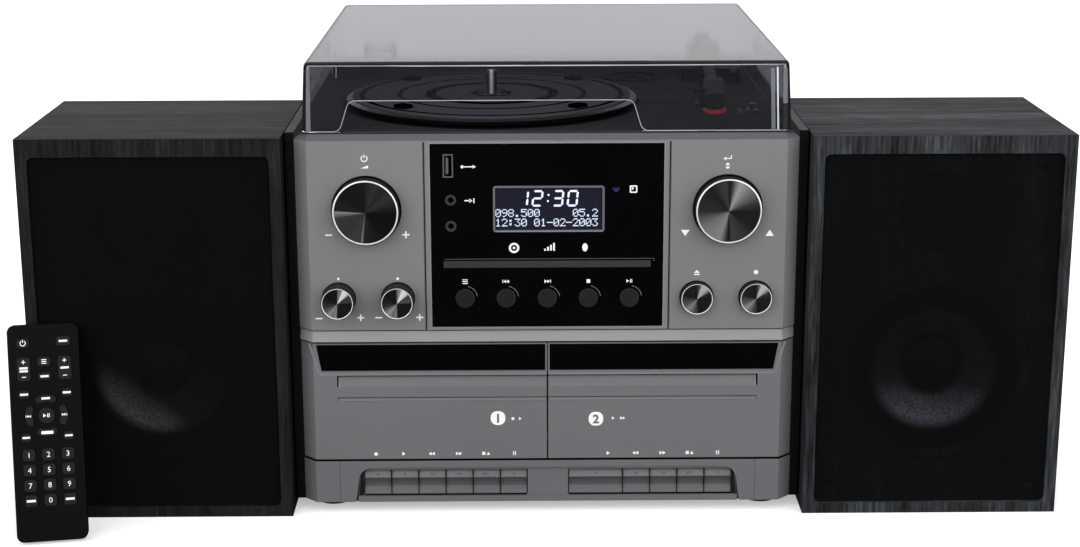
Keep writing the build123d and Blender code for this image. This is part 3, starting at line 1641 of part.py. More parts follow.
with BuildPart() as remote_case:
    with BuildSketch(remote_plane(0)):
        with Locations((0, remote_length / 2)):
            RectangleRounded(remote_width, remote_length, 4.5)
    extrude(amount=remote_wall)
    fillet(remote_case.faces().sort_by(Axis((0, 0, 0), remote_out))[-1].edges(), 1.0)
    with BuildSketch(remote_plane(remote_wall)):
        keypad_outline(key_clearance)
    extrude(amount=-pad_depth, mode=Mode.SUBTRACT)
    # Space for the sheet that joins the keys
    with BuildSketch(remote_plane(remote_wall - pad_depth - pad_sheet)):
        with Locations((0, remote_length / 2)):
            Rectangle(remote_width - 7, remote_length - 12)
    extrude(amount=pad_sheet, mode=Mode.SUBTRACT)
    # Battery door line on the back
    with BuildSketch(remote_plane(0)):
        with Locations((0, battery_rise)):
            Rectangle(battery_width, battery_length)
            Rectangle(battery_width - 2 * line_cut, battery_length - 2 * line_cut, mode=Mode.SUBTRACT)
    extrude(amount=line_cut, mode=Mode.SUBTRACT)
save(remote_case.part, "remote_case")

with BuildPart() as remote_keypad:
    with BuildSketch(remote_plane(remote_wall - pad_depth - pad_sheet)):
        with Locations((0, remote_length / 2)):
            Rectangle(remote_width - 7.4, remote_length - 12.4)
    extrude(amount=pad_sheet)
    with BuildSketch(remote_plane(remote_wall - pad_depth)):
        keypad_outline(0.0)
    extrude(amount=pad_depth + pad_reach)
save(remote_keypad.part, "remote_keypad")
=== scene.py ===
import json
import math
import bmesh
import bpy
from mathutils import Matrix, Vector


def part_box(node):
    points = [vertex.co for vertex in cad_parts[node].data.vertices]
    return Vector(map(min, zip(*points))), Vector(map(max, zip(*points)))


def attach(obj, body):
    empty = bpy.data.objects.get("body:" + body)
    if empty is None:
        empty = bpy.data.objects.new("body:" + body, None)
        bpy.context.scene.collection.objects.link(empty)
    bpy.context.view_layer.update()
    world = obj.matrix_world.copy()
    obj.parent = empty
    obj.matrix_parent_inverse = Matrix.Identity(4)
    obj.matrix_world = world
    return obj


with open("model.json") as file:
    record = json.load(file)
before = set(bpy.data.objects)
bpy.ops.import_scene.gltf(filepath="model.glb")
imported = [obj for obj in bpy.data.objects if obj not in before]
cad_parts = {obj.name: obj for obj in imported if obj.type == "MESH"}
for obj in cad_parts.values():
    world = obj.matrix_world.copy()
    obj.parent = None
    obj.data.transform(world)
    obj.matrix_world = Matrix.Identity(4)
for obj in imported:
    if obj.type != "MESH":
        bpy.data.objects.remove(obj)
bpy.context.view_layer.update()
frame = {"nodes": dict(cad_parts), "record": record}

scene = bpy.context.scene
mm = 0.001
unit = "music_centre"
fasciaLow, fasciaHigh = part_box("upper_fascia")
centreX = (fasciaLow.x + fasciaHigh.x) / 2
faceY = fasciaLow.y
print("frame loaded")


# places, colours and nodes

def spot(x, y, z):
    # millimetres from the unit's middle, behind its fascia and above the table
    return Vector((centreX + x * mm, faceY + y * mm, z * mm))


def shade(code):
    # a colour as it looks, turned into what the shader wants
    parts = [int(code[i:i + 2], 16) / 255 for i in (0, 2, 4)]
    return tuple(((c + 0.055) / 1.055) ** 2.4 if c > 0.04 else c / 12.92 for c in parts) + (1.0,)


def tinted(colour, factor):
    return tuple(min(1.0, c * factor) for c in colour[:3]) + (1.0,)


def grey(level):
    return (level, level, level, 1.0)


def feed(tree, node, given):
    # each input named gets a link, or a fixed value
    for key, value in given.items():
        if isinstance(value, bpy.types.NodeSocket):
            tree.links.new(value, node.inputs[key])
        else:
            node.inputs[key].default_value = value


def addNode(tree, kind, given=None, **settings):
    node = tree.nodes.new(kind)
    for key, value in settings.items():
        setattr(node, key, value)
    feed(tree, node, given or {})
    return node


def setSurface(tree, shader):
    out = next(n for n in tree.nodes if n.type.startswith("OUTPUT"))
    feed(tree, out, {"Surface": shader})


def blankMaterial(name):
    mat = bpy.data.materials.new(name)
    mat.use_nodes = True
    tree = mat.node_tree
    tree.nodes.clear()
    addNode(tree, "ShaderNodeOutputMaterial")
    shader = addNode(tree, "ShaderNodeBsdfPrincipled")
    setSurface(tree, shader.outputs[0])
    return mat, tree, shader


def coords(tree, scale=(1, 1, 1), centre=(0, 0, 0)):
    return addNode(tree, "ShaderNodeMapping", {
        "Scale": scale, "Location": [-c * s for c, s in zip(centre, scale)],
        "Vector": addNode(tree, "ShaderNodeTexCoord").outputs["Object"],
    }).outputs[0]


def noise(tree, vector, scale, detail=3.0, rough=0.5):
    given = {"Scale": scale, "Detail": detail, "Roughness": rough, "Vector": vector}
    return addNode(tree, "ShaderNodeTexNoise", given).outputs["Fac"]


def ramp(tree, source, stops):
    node = addNode(tree, "ShaderNodeValToRGB", {"Fac": source})
    elements = node.color_ramp.elements
    while len(elements) < len(stops):
        elements.new(0.5)
    for element, (where, colour) in zip(elements, stops):
        element.position = where
        element.color = colour
    return node.outputs["Color"]


def spread(tree, source, low, high, start=0.3, end=0.7):
    given = {"Value": source, "From Min": start, "From Max": end, "To Min": low, "To Max": high}
    return addNode(tree, "ShaderNodeMapRange", given).outputs["Result"]


def bump(tree, height, strength, distance):
    given = {"Strength": strength, "Distance": distance, "Height": height}
    return addNode(tree, "ShaderNodeBump", given).outputs[0]


def calc(tree, operation, *values):
    return addNode(tree, "ShaderNodeMath", dict(enumerate(values)), operation=operation).outputs[0]


def split(tree, vector):
    return addNode(tree, "ShaderNodeSeparateXYZ", {0: vector}).outputs


def measure(tree, operation, *vectors):
    given = dict(enumerate(vectors))
    return addNode(tree, "ShaderNodeVectorMath", given, operation=operation).outputs["Value"]


def mixed(tree, factor, first, second, kind="RGBA", blend="MIX"):
    given = {"Factor": factor, "A": first, "B": second}
    return addNode(tree, "ShaderNodeMix", given, data_type=kind, blend_type=blend).outputs["Result"]


def mixShaders(tree, factor, first, second):
    return addNode(tree, "ShaderNodeMixShader", {0: factor, 1: first, 2: second}).outputs[0]


def clearShader(tree, colour=(1, 1, 1, 1)):
    return addNode(tree, "ShaderNodeBsdfTransparent", {"Color": colour}).outputs[0]


# finishes

def moulded(name, code, rough=0.42, metal=0.0, fleck=0.06, depth=0.00003, shine=0.5, patch=9, grain=2600):
    # moulded or painted plastic: slow drifts in tone, a fine fleck and a fine bite in the surface
    mat, tree, shader = blankMaterial(name)
    colour, vector = shade(code), coords(tree)
    slow = noise(tree, vector, patch, 4)
    fine = noise(tree, vector, grain, 2, 0.6)
    drift = ramp(tree, slow, [(0.3, tinted(colour, 1 - fleck)), (0.7, tinted(colour, 1 + fleck))])
    speck = ramp(tree, fine, [(0.35, tinted(colour, 1 - 2 * fleck)), (0.68, tinted(colour, 1 + 2 * fleck))])
    feed(tree, shader, {
        "Base Color": mixed(tree, 0.5, drift, speck), "Metallic": metal, "Specular IOR Level": shine,
        "Roughness": spread(tree, slow, rough - 0.04, rough + 0.06), "Normal": bump(tree, fine, 0.35, depth),
    })
    return mat


def satin(name, code):
    # painted plastic with a little metal in it
    return moulded(name, code, 0.45, 0.1, shine=0.35)


def glossy(name, code, rough=0.05, ior=1.3):
    # polished plastic with faint handling marks
    mat, tree, shader = blankMaterial(name)
    colour, vector = shade(code), coords(tree)
    smear = noise(tree, vector, 26, 5, 0.62)
    feed(tree, shader, {
        "Base Color": ramp(tree, smear, [(0.3, colour), (0.75, tinted(colour, 1.5))]), "IOR": ior,
        "Roughness": spread(tree, smear, rough, rough * 2.2),
        "Normal": bump(tree, noise(tree, vector, 60, 2), 0.08, 0.00002),
    })
    return mat


def turnedMetal(name, code, rough=0.3, ring=5200, metal=1.0):
    # plated or turned metal with fine marks
    mat, tree, shader = blankMaterial(name)
    colour = shade(code)
    fine = noise(tree, coords(tree, (1, 1, 4)), ring, 3, 0.6)
    feed(tree, shader, {
        "Base Color": ramp(tree, fine, [(0.3, tinted(colour, 0.8)), (0.7, tinted(colour, 1.15))]),
        "Roughness": spread(tree, fine, rough - 0.06, rough + 0.1), "Metallic": metal,
        "Normal": bump(tree, fine, 0.2, 0.00002),
    })
    return mat


def paintedStreakPin(name, x, radius):
    # a polished pin with a painted reflection: a bright streak painted up its middle, painted dark at both
    # sides
    mat, tree, shader = blankMaterial(name)
    across = split(tree, coords(tree, centre=spot(x, 0, 0)))["X"]
    across = spread(tree, across, 0, 1, -radius * mm, radius * mm)
    streak = {0.12: "0e0e0f", 0.3: "5c5b5a", 0.4: "fffaf4", 0.56: "f4efe8", 0.68: "4c4b4a", 0.85: "101011"}
    tone = ramp(tree, across, [(at, shade(code)) for at, code in streak.items()])
    rough = spread(tree, noise(tree, coords(tree), 3200), 0.2, 0.3)
    feed(tree, shader, {"Base Color": tone, "Roughness": rough, "Metallic": 0.3})
    return mat


def blackAsh(name, paleCode, darkCode, gloss=0.12):
    # printed ash with an open grain, upright on the faces and across on top
    mat, tree, shader = blankMaterial(name)
    pale, dark = shade(paleCode), shade(darkCode)
    facing = split(tree, addNode(tree, "ShaderNodeNewGeometry").outputs["Normal"])
    top = calc(tree, "GREATER_THAN", calc(tree, "ABSOLUTE", facing["Z"]), 0.6)
    streaks = []
    for long, wide in ((56, 0.01), (600, 0.07)):
        places = [coords(tree, scale, (wide, 0, 0)) for scale in ((1.0, 1.0, 0.07), (0.07, 1.0, 1.0))]
        streaks.append(mixed(tree, top, *[noise(tree, place, long, 7, 0.62) for place in places], "FLOAT"))
    grain = mixed(tree, 0.55, *streaks, "FLOAT")
    middle = tuple((a + b) / 2 for a, b in zip(pale, dark))
    stops = [(0.4, dark), (0.48, middle), (0.55, pale), (0.62, tinted(pale, 1.9))]
    feed(tree, shader, {
        "Base Color": ramp(tree, grain, stops),
        "Roughness": spread(tree, grain, 0.9, 0.7), "Specular IOR Level": gloss,
        "Normal": bump(tree, grain, 0.5, 0.00012),
    })
    return mat


def grilleCloth(name, code, openness, pitch=0.0009):
    # tight woven cloth: crossed threads, with the light coming through between them
    mat, tree, shader = blankMaterial(name)
    colour = shade(code)
    given = {"Scale": 0.314 / pitch, "Distortion": 0.4, "Vector": coords(tree)}
    waves = [addNode(tree, "ShaderNodeTexWave", given, bands_direction=way).outputs["Fac"] for way in "XZ"]
    weave = calc(tree, "MULTIPLY", *waves)
    feed(tree, shader, {
        "Base Color": ramp(tree, weave, [(0.0, tinted(colour, 0.5)), (1.0, tinted(colour, 1.8))]),
        "Roughness": 0.9, "Specular IOR Level": 0.15, "Normal": bump(tree, weave, 0.6, 0.0002),
    })
    setSurface(tree, mixShaders(tree, openness, shader.outputs[0], clearShader(tree)))
    return mat


def smokedClear(name, code, shadowCode, rough=0.02):
    # clear acrylic with a grey tint; lamp light and light off dull faces pass straight through it
    mat, tree, shader = blankMaterial(name)
    tint = shade(code)
    smear = noise(tree, coords(tree), 18, 4, 0.6)
    feed(tree, shader, {
        "Base Color": ramp(tree, smear, [(0.3, tinted(tint, 0.97)), (0.7, tint)]), "IOR": 1.36,
        "Roughness": spread(tree, smear, rough, rough * 2), "Transmission Weight": 1.0,
    })
    path = addNode(tree, "ShaderNodeLightPath").outputs
    straight = calc(tree, "MAXIMUM", path["Is Shadow Ray"], path["Is Diffuse Ray"])
    setSurface(tree, mixShaders(tree, straight, shader.outputs[0], clearShader(tree, shade(shadowCode))))
    return mat


def lit(name, code, strength):
    # characters and lamps that glow
    mat, tree, shader = blankMaterial(name)
    colour = shade(code)
    flicker = ramp(tree, noise(tree, coords(tree), 900, 1), [(0.3, tinted(colour, 0.9)), (0.7, colour)])
    feed(tree, shader, {
        "Base Color": flicker, "Emission Color": colour, "Emission Strength": strength, "Roughness": 0.4,
    })
    return mat


def spunMetal(name, paintedFan):
    # a spun face: fine rings, brushed round the axis, with painted fans of light across it: painted
    # highlights by turn round the face, over its real brushed gloss
    mat, tree, shader = blankMaterial(name)
    turned = split(tree, addNode(tree, "ShaderNodeUVMap", uv_map="turned").outputs[0])
    # painted highlights: brightness painted by turn round the face
    light = ramp(tree, turned["X"], [(turn, (v, v, v * 1.02, 1.0)) for turn, v in paintedFan.items()])
    rings = addNode(tree, "ShaderNodeCombineXYZ", {"X": turned["Y"]}).outputs[0]
    lines = noise(tree, rings, 240, 3, 0.7)
    lineTone = ramp(tree, lines, [(0.3, grey(0.55)), (0.7, grey(1.25))])
    feed(tree, shader, {
        "Base Color": mixed(tree, 1.0, light, lineTone, blend="MULTIPLY"), "Metallic": 0.4,
        "Roughness": spread(tree, lines, 0.26, 0.36), "Specular IOR Level": 0.25, "Anisotropic": 0.8,
        "Tangent": addNode(tree, "ShaderNodeTangent", direction_type="UV_MAP", uv_map="turned").outputs[0],
        "Normal": bump(tree, lines, 0.15, 0.00003),
    })
    return mat


def coneMaterial(name, centre, code, lean, least, start, end):
    # a speaker's cone: a satin ring of coated paper between its black surround and dust cap,
    # with a painted highlight that makes it lighter towards one side
    mat, tree, shader = blankMaterial(name)
    place = coords(tree, (10, 10, 10), spot(*centre))
    black, pale = shade("0a0a0b"), shade(code)
    rings = [(0.19, black), (0.22, tinted(pale, 0.8)), (0.34, pale), (0.4, black)]
    ring = ramp(tree, measure(tree, "LENGTH", place), rings)
    # painted highlight: lighter towards the side the light falls from
    paintedHighlight = ramp(tree, measure(tree, "DOT_PRODUCT", place, lean), [(start, grey(least)), (end, grey(1.0))])
    paper = noise(tree, coords(tree), 700, 3, 0.7)
    fleck = ramp(tree, paper, [(0.36, grey(0.45)), (0.62, grey(1.5))])
    part = mixed(tree, 1.0, ring, paintedHighlight, blend="MULTIPLY")
    feed(tree, shader, {
        "Base Color": mixed(tree, 1.0, part, fleck, blend="MULTIPLY"), "Metallic": 0.4,
        "Roughness": spread(tree, paper, 0.3, 0.5), "Normal": bump(tree, paper, 0.6, 0.0002),
    })
    return mat


finishes = {
    "body": satin("satinGrey", "7e7e80"),
    "band": satin("satinLight", "929294"),
    "deck": moulded("deckTextured", "2f2f31", 0.7, shine=0.0),
    "gloss_black": glossy("glossBlack", "040405", 0.06, 1.15),
    "display": glossy("displayGlass", "1c1d28", 0.1, 1.15),
    "slot": moulded("slotGrey", "2e2e30", 0.4),
    "knob": moulded("knobSkirt", "0b0b0c", 0.4, shine=0.25),
    "plunger": turnedMetal("shaftSteel", "9a9a9a"),
    "button": moulded("buttonBlack", "19191b", shine=0.3),
    "smoked": glossy("smokedWindow", "040405", ior=1.15),
    "cover": smokedClear("smokedCover", "b2b3ba", "e0e0e6"),
    "key": moulded("keyGrey", "5c5c5f", metal=0.1, shine=0.35),
    "mechanism": turnedMetal("platedSteel", "8c8c8e", 0.35, 900),
    "board": moulded("boardGreen", "1d5a30", 0.5),
    "socket": moulded("socketBlack", "202022", 0.4),
    "rubber": moulded("footRubber", "141414", 0.8, shine=0.2),
    "platter": moulded("platterBlack", "070708", 0.35, shine=0.22),
    "mat": moulded("matGrey", "464649", 0.7, depth=0.00004, shine=0.0),
    # the spindle: a painted reflection, a bright streak up its middle
    "spindle": paintedStreakPin("spindlePaintedStreak", -34.5, 3.6),
    "arm": moulded("armBlack", "0c0c0d", 0.5, shine=0.08),
    "cartridge": moulded("cartridgeBlack", "101011", 0.5, shine=0.1),
    "hinge": moulded("hingeBlack", "18181a", 0.45),
    "wood": blackAsh("blackAsh", "27292b", "0b0c0c"),
    "driver": moulded("driverBlack", "141415", 0.5),
    "cloth": grilleCloth("grilleCloth", "040405", 0.46),
    "remote": moulded("remoteBlack", "050506", 0.5, shine=0.1),
    "keypad": moulded("keypadRubber", "1f1f21", 0.6, shine=0.12),
}
# painted shade: darker copies of the body's grey for the doors and the plinth, which sit lower and take less
# light
doorShadedGrey = satin("satinDoorPaintedShade", "707073")
plinthShadedGrey = satin("satinPlinthPaintedShade", "6c6c6f")
coneLook = {"x": 238, "y": 3, "z": 93}
leftCone, rightCone = [(side * coneLook["x"], coneLook["y"], coneLook["z"]) for side in (-1, 1)]
ownFinish = {
    "cabinet_case": moulded("caseBlack", "08080a", 0.6, shine=0.12),
    "record_adapter": moulded("adapterBlack", "0a0a0b", 0.7, shine=0.02),
    # painted light and shade: the left cabinet's ash is a darker copy of the wood for the shade on it, the
    # right cabinet's a lighter copy for the light on it
    "left_speaker_cabinet": blackAsh("blackAshLeftPaintedShade", "1a1b1c", "070707", 0.2),
    "right_speaker_cabinet": blackAsh("blackAshRightPaintedLight", "34373a", "131415"),
    "cassette_door_1": doorShadedGrey,
    "cassette_door_2": doorShadedGrey,
    "key_bezel": plinthShadedGrey,
    # painted highlights on the cones: the left one lighter towards its lower left, the right one towards its
    # bottom
    "left_speaker_drivers": coneMaterial("leftCone", leftCone, "c0c4c8", (-0.6, 0, -0.8), 0.02, 0.16, 0.32),
    "right_speaker_drivers": coneMaterial(
        "rightCone", rightCone, "bcc4d6", (-0.05, 0, -1), 0.12, 0.11, 0.3),
}
slotOf = {entry["node"]: entry["material_slot"] for entry in frame["record"]["subparts"]}
for nodeName, node in frame["nodes"].items():
    node.data.materials.clear()
    node.data.materials.append(ownFinish.get(nodeName, finishes[slotOf[nodeName]]))
print("finishes made")


# camera, lamps and floor

cameraSetup = {"place": (-14.5, -1154.4, 456.8), "yaw": 0.5, "pitch": 14.68, "roll": -0.16, "lens": 65.44}


def makeCamera(setup):
    yaw, pitch, roll = (math.radians(setup[k]) for k in ("yaw", "pitch", "roll"))
    ahead = Vector((math.sin(yaw) * math.cos(pitch), math.cos(yaw) * math.cos(pitch), -math.sin(pitch)))
    level = Vector((math.cos(yaw), -math.sin(yaw), 0))
    upright = level.cross(ahead)
    right = math.cos(roll) * level + math.sin(roll) * upright
    up = -math.sin(roll) * level + math.cos(roll) * upright
    data = bpy.data.cameras.new("camera")
    data.lens = setup["lens"]
    data.sensor_width = 36
    data.clip_start = 0.01
    camera = bpy.data.objects.new("camera", data)
    scene.collection.objects.link(camera)
    turn = Matrix((right, up, -ahead)).transposed().to_4x4()
    camera.matrix_world = Matrix.Translation(spot(*setup["place"])) @ turn
    scene.camera = camera


makeCamera(cameraSetup)

lamps = {
    "top": {"place": (0, -150, 1500), "aim": (0, 60, 150), "size": (1.6, 1.2), "power": 5},
    "leftFront": {"place": (-1000, -1100, 620), "aim": (0, 0, 130), "size": (1.8, 1.6), "power": 18},
    "rightFront": {"place": (1000, -1100, 620), "aim": (0, 0, 130), "size": (1.8, 1.6), "power": 18},
    "back": {"place": (0, 1300, 900), "aim": (0, 150, 150), "size": (1.8, 0.8), "power": 8},
}
for lampName, lamp in lamps.items():
    data = bpy.data.lights.new(lampName, "AREA")
    data.shape = "RECTANGLE"
    data.size, data.size_y = lamp["size"]
    data.energy = lamp["power"]
    lampObject = bpy.data.objects.new(lampName, data)
    lampObject.location = spot(*lamp["place"])
    aim = spot(*lamp["aim"]) - lampObject.location
    lampObject.rotation_euler = aim.to_track_quat("-Z", "Y").to_euler()
    scene.collection.objects.link(lampObject)


def lightPath(tree):
    # the kinds of ray, and those that look at a thing straight or through glass
    path = addNode(tree, "ShaderNodeLightPath").outputs
    return path, calc(tree, "MAXIMUM", path["Is Camera Ray"], path["Is Transmission Ray"])


def makeWorld(fill=0.5):
    # plain fill light; eyes, gloss and glass see white behind the set and a dim room in front
    world = bpy.data.worlds.new("studio")
    scene.world = world
    world.use_nodes = True
    tree = world.node_tree
    tree.nodes.clear()
    addNode(tree, "ShaderNodeOutputWorld")
    path, looked = lightPath(tree)
    depth = split(tree, addNode(tree, "ShaderNodeTexCoord").outputs["Generated"])["Y"]
    tones = [(0.35, (0.02, 0.02, 0.022, 1)), (0.62, (0.68, 0.68, 0.69, 1))]
    room = ramp(tree, spread(tree, depth, 0, 1, -1, 1), tones)
    shades = (((0.97, 0.98, 1.0, 1), fill), (room, 1.0), (grey(1.0), 1.0))
    plain, mirrored, white = [
        addNode(tree, "ShaderNodeBackground", {"Color": colour, "Strength": strength}).outputs[0]
        for colour, strength in shades
    ]
    around = mixShaders(tree, path["Is Glossy Ray"], plain, mirrored)
    setSurface(tree, mixShaders(tree, looked, around, white))


def makeFloor(size=12.0, lift=0.4, far=0.8, seen=0.87, unseen=0.16, mirrored=0.1):
    # pale where it is looked at, dimmer for what bounces off it
    mesh = bpy.data.meshes.new("floor")
    h = size / 2
    mesh.from_pydata([(-h, -h, 0), (h, -h, 0), (h, h, 0), (-h, h, 0)], [], [(0, 1, 2, 3)])
    floor = bpy.data.objects.new("floor", mesh)
    scene.collection.objects.link(floor)
    mat, tree, shader = blankMaterial("paleFloor")
    path, looked = lightPath(tree)
    pale = ramp(tree, noise(tree, coords(tree), 3, 2), [(0.3, grey(seen - 0.01)), (0.7, grey(seen + 0.01))])
    dim = mixed(tree, path["Is Glossy Ray"], grey(unseen), grey(mirrored))
    tone = mixed(tree, looked, dim, pale)
    feed(tree, shader, {"Base Color": tone, "Roughness": 0.95, "Specular IOR Level": 0.1})
    place = coords(tree, (0.25, 0.25, 0.25))
    more = ramp(tree, measure(tree, "LENGTH", place), [(0.1, grey(lift)), (0.6, grey(far))])
    glow = addNode(tree, "ShaderNodeEmission", {"Strength": calc(tree, "MULTIPLY", looked, more)}).outputs[0]
    setSurface(tree, addNode(tree, "ShaderNodeAddShader", {0: shader.outputs[0], 1: glow}).outputs[0])
    mesh.materials.append(mat)


makeWorld()
makeFloor()
scene.view_settings.view_transform = "Standard"
print("camera, lamps and floor set")


# outlines

def arcPoints(x, z, radius, start=0.0, end=360.0, steps=24):
    count = steps if abs(end - start) >= 360 else steps + 1
    turns = [math.radians(start + (end - start) * i / steps) for i in range(count)]
    return [(x + radius * math.cos(t), z + radius * math.sin(t)) for t in turns]


def roundedBox(x, z, width, height, radius, steps=5):
    points = []
    for sx, sz, start in ((1, 1, 0), (-1, 1, 90), (-1, -1, 180), (1, -1, 270)):
        middle = (x + sx * (width / 2 - radius), z + sz * (height / 2 - radius))
        points += arcPoints(*middle, radius, start, start + 90, steps)
    return points


def strip(left, right, low, high):
    return [(left, low), (right, low), (right, high), (left, high)]


def rectangle(x, z, width, height):
    return strip(x - width / 2, x + width / 2, z - height / 2, z + height / 2)


def pair(x, width, low, high):
    # two upright strips, one each side of the middle
    return [strip(side * x - width / 2, side * x + width / 2, low, high) for side in (-1, 1)]


def roundedPath(corners, radius, steps=6):
    # a path of straight runs with its corners rounded
    corners = [Vector(corner) for corner in corners]
    path = [corners[0]]
    for before, at, after in zip(corners, corners[1:], corners[2:]):
        back, on = (before - at).normalized(), (after - at).normalized()
        half = back.angle(on) / 2
        reach = radius / math.tan(half)
        middle = at + (back + on).normalized() * radius / math.sin(half)
        start, end = at + back * reach - middle, at + on * reach - middle
        path += [middle + radius * start.slerp(end, i / steps) for i in range(steps + 1)]
    return path + [corners[-1]]


# drawing planes

def facingFront(x, y, z):
    return Matrix.Translation(spot(x, y, z)) @ Matrix.Rotation(math.radians(90), 4, "X")


def planeOf(place, across, up):
    across, up = Vector(across).normalized(), Vector(up).normalized()
    return Matrix.Translation(spot(*place)) @ Matrix((across, up, across.cross(up))).transposed().to_4x4()


# what pieces are made of

def loft(bm, loops, ends=True):
    # a skin from loop to loop, with a face at both ends or else from the last loop back to the first
    rings = [[bm.verts.new(point) for point in loop] for loop in loops]
    for ring, after in zip(rings, rings[1:] + ([] if ends else rings[:1])):
        for i in range(len(ring)):
            j = (i + 1) % len(ring)
            bm.faces.new((ring[i], ring[j], after[j], after[i]))
    if ends:
        bm.faces.new(list(reversed(rings[0])))
        bm.faces.new(rings[-1])


def prism(bm, outline, y, depth):
    # a closed plate: the outline is x and z in millimetres, its face stands at y
    loft(bm, [[spot(x, level, z) for x, z in outline] for level in (y, y + depth)])


def ringPlate(bm, outer, inner, y, depth):
    # the same with a hole, from two outlines of as many points
    edges = ((outer, y), (outer, y + depth), (inner, y + depth), (inner, y))
    loft(bm, [[spot(x, level, z) for x, z in line] for line, level in edges], ends=False)


def discRing(bm, x, z, outer, inner, y, depth, steps):
    ringPlate(bm, arcPoints(x, z, outer, steps=steps), arcPoints(x, z, inner, steps=steps), y, depth)


def frameRing(bm, x, z, width, height, edge, radius, y, depth):
    inner = roundedBox(x, z, width - 2 * edge, height - 2 * edge, max(radius - edge, 0.2))
    ringPlate(bm, roundedBox(x, z, width, height, radius), inner, y, depth)


def flatRing(bm, x, y, z, outer, inner, depth):
    # a ring that lies flat, its top at z
    edges = ((outer, z), (outer, z - depth), (inner, z - depth), (inner, z))
    loops = [[spot(*point, level) for point in arcPoints(x, y, r, steps=120)] for r, level in edges]
    loft(bm, loops, ends=False)


def plate(bm, outline, plane, top, depth):
    # a closed plate in a drawing plane, its face at top and its back a depth under it
    loft(bm, [[plane @ Vector((x * mm, y * mm, h * mm)) for x, y in outline] for h in (top, top - depth)])


def slab(bm, corners, push):
    # a thin closed plate: its corners in millimetres and how far its outer side stands off them
    corners = [Vector(corner) for corner in corners]
    loft(bm, [[spot(*(corner + off)) for corner in corners] for off in (Vector(), Vector(push))])


def tube(bm, path, radius, normal, sides=8):
    # a round line along a path that lies in one plane
    rings = []
    for i, point in enumerate(path):
        along = (path[min(i + 1, len(path) - 1)] - path[max(i - 1, 0)]).normalized()
        across = along.cross(normal).normalized()
        turns = [2 * math.pi * k / sides for k in range(sides)]
        rings.append([point + radius * (math.cos(t) * normal + math.sin(t) * across) for t in turns])
    loft(bm, rings)


def lathe(bm, x, z, profile, steps=96):
    # a profile of radius and depth turned about an axis that faces the front, its turn and radius as a map
    uv = bm.loops.layers.uv.get("turned") or bm.loops.layers.uv.new("turned")
    largest = max(r for r, y in profile)
    columns = []
    for r, y in profile:
        circle = arcPoints(x, z, r, steps=steps) if r > 0.001 else [(x, z)]
        columns.append([bm.verts.new(spot(px, y, pz)) for px, pz in circle])
    for ring in range(len(profile) - 1):
        near, far = columns[ring], columns[ring + 1]
        vNear, vFar = profile[ring][0] / largest, profile[ring + 1][0] / largest
        for i in range(steps):
            j = (i + 1) % steps
            u, w = i / steps, (i + 1) / steps
            middle = (u + w) / 2
            if len(near) == 1:
                corners = [(near[0], middle, vNear), (far[i], u, vFar), (far[j], w, vFar)]
            elif len(far) == 1:
                corners = [(near[j], w, vNear), (near[i], u, vNear), (far[0], middle, vFar)]
            else:
                corners = [(near[j], w, vNear), (near[i], u, vNear), (far[i], u, vFar), (far[j], w, vFar)]
            face = bm.faces.new([corner[0] for corner in corners])
            for loop, corner in zip(face.loops, corners):
                loop[uv].uv = corner[1:]


def settled(holder):
    # the plain mesh of a curve, or of an object with its modifier
    scene.collection.objects.link(holder)
    bpy.context.view_layer.update()
    return bpy.data.meshes.new_from_object(holder.evaluated_get(bpy.context.evaluated_depsgraph_get()))


def addText(bm, text, size, plane, bold=0.0, depth=0.05):
    # figures in the plain built-in face, on the base line of a drawing plane
    curve = bpy.data.curves.new("figures", "FONT")
    curve.body = text
    curve.size = size * mm
    curve.extrude = depth * mm / 2
    curve.offset = bold * mm
    curve.align_x = "CENTER"
    curve.resolution_u = 3
    holder = bpy.data.objects.new("figures", curve)
    mesh = settled(holder)
    mesh.transform(plane)
    bm.from_mesh(mesh)
    bpy.data.objects.remove(holder)
    bpy.data.curves.remove(curve)
    bpy.data.meshes.remove(mesh)


def putPiece(name, mesh, body):
    piece = bpy.data.objects.new(name, mesh)
    scene.collection.objects.link(piece)
    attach(piece, body)


def build(name, finish, body, parts, smooth=False, merge=False):
    # one piece on the body that carries it, from its parts: each a function and what that is given
    bm = bmesh.new()
    for shape, *given in parts:
        shape(bm, *given)
    if merge:
        bmesh.ops.remove_doubles(bm, verts=bm.verts, dist=1e-7)
    bmesh.ops.recalc_face_normals(bm, faces=bm.faces)
    mesh = bpy.data.meshes.new(name)
    bm.to_mesh(mesh)
    bm.free()
    mesh.materials.append(finish)
    if smooth:
        mesh.shade_smooth()
        mesh.set_sharp_from_angle(angle=math.radians(35))
    putPiece(name, mesh, body)


# what repeats is grown by geometry nodes

def growTree(name, inputs):
    tree = bpy.data.node_groups.new(name, "GeometryNodeTree")
    tree.is_modifier = True
    tree.interface.new_socket("Geometry", in_out="INPUT", socket_type="NodeSocketGeometry")
    ids = {}
    for label, (kind, value) in {**inputs, "Material": ("Material", None)}.items():
        socket = tree.interface.new_socket(label, in_out="INPUT", socket_type="NodeSocket" + kind)
        if value is not None:
            socket.default_value = value
        ids[label] = socket.identifier
    tree.interface.new_socket("Geometry", in_out="OUTPUT", socket_type="NodeSocketGeometry")
    return tree, addNode(tree, "NodeGroupInput").outputs, ids


def closeTree(tree, geometry, given):
    real = addNode(tree, "GeometryNodeRealizeInstances", {0: geometry})
    painted = {"Geometry": real.outputs[0], "Material": given["Material"]}
    paint = addNode(tree, "GeometryNodeSetMaterial", painted)
    addNode(tree, "NodeGroupOutput", {0: paint.outputs[0]})


def onPoints(tree, points, shape, **more):
    given = {"Points": points, "Instance": shape.outputs[0], **more}
    return addNode(tree, "GeometryNodeInstanceOnPoints", given).outputs[0]


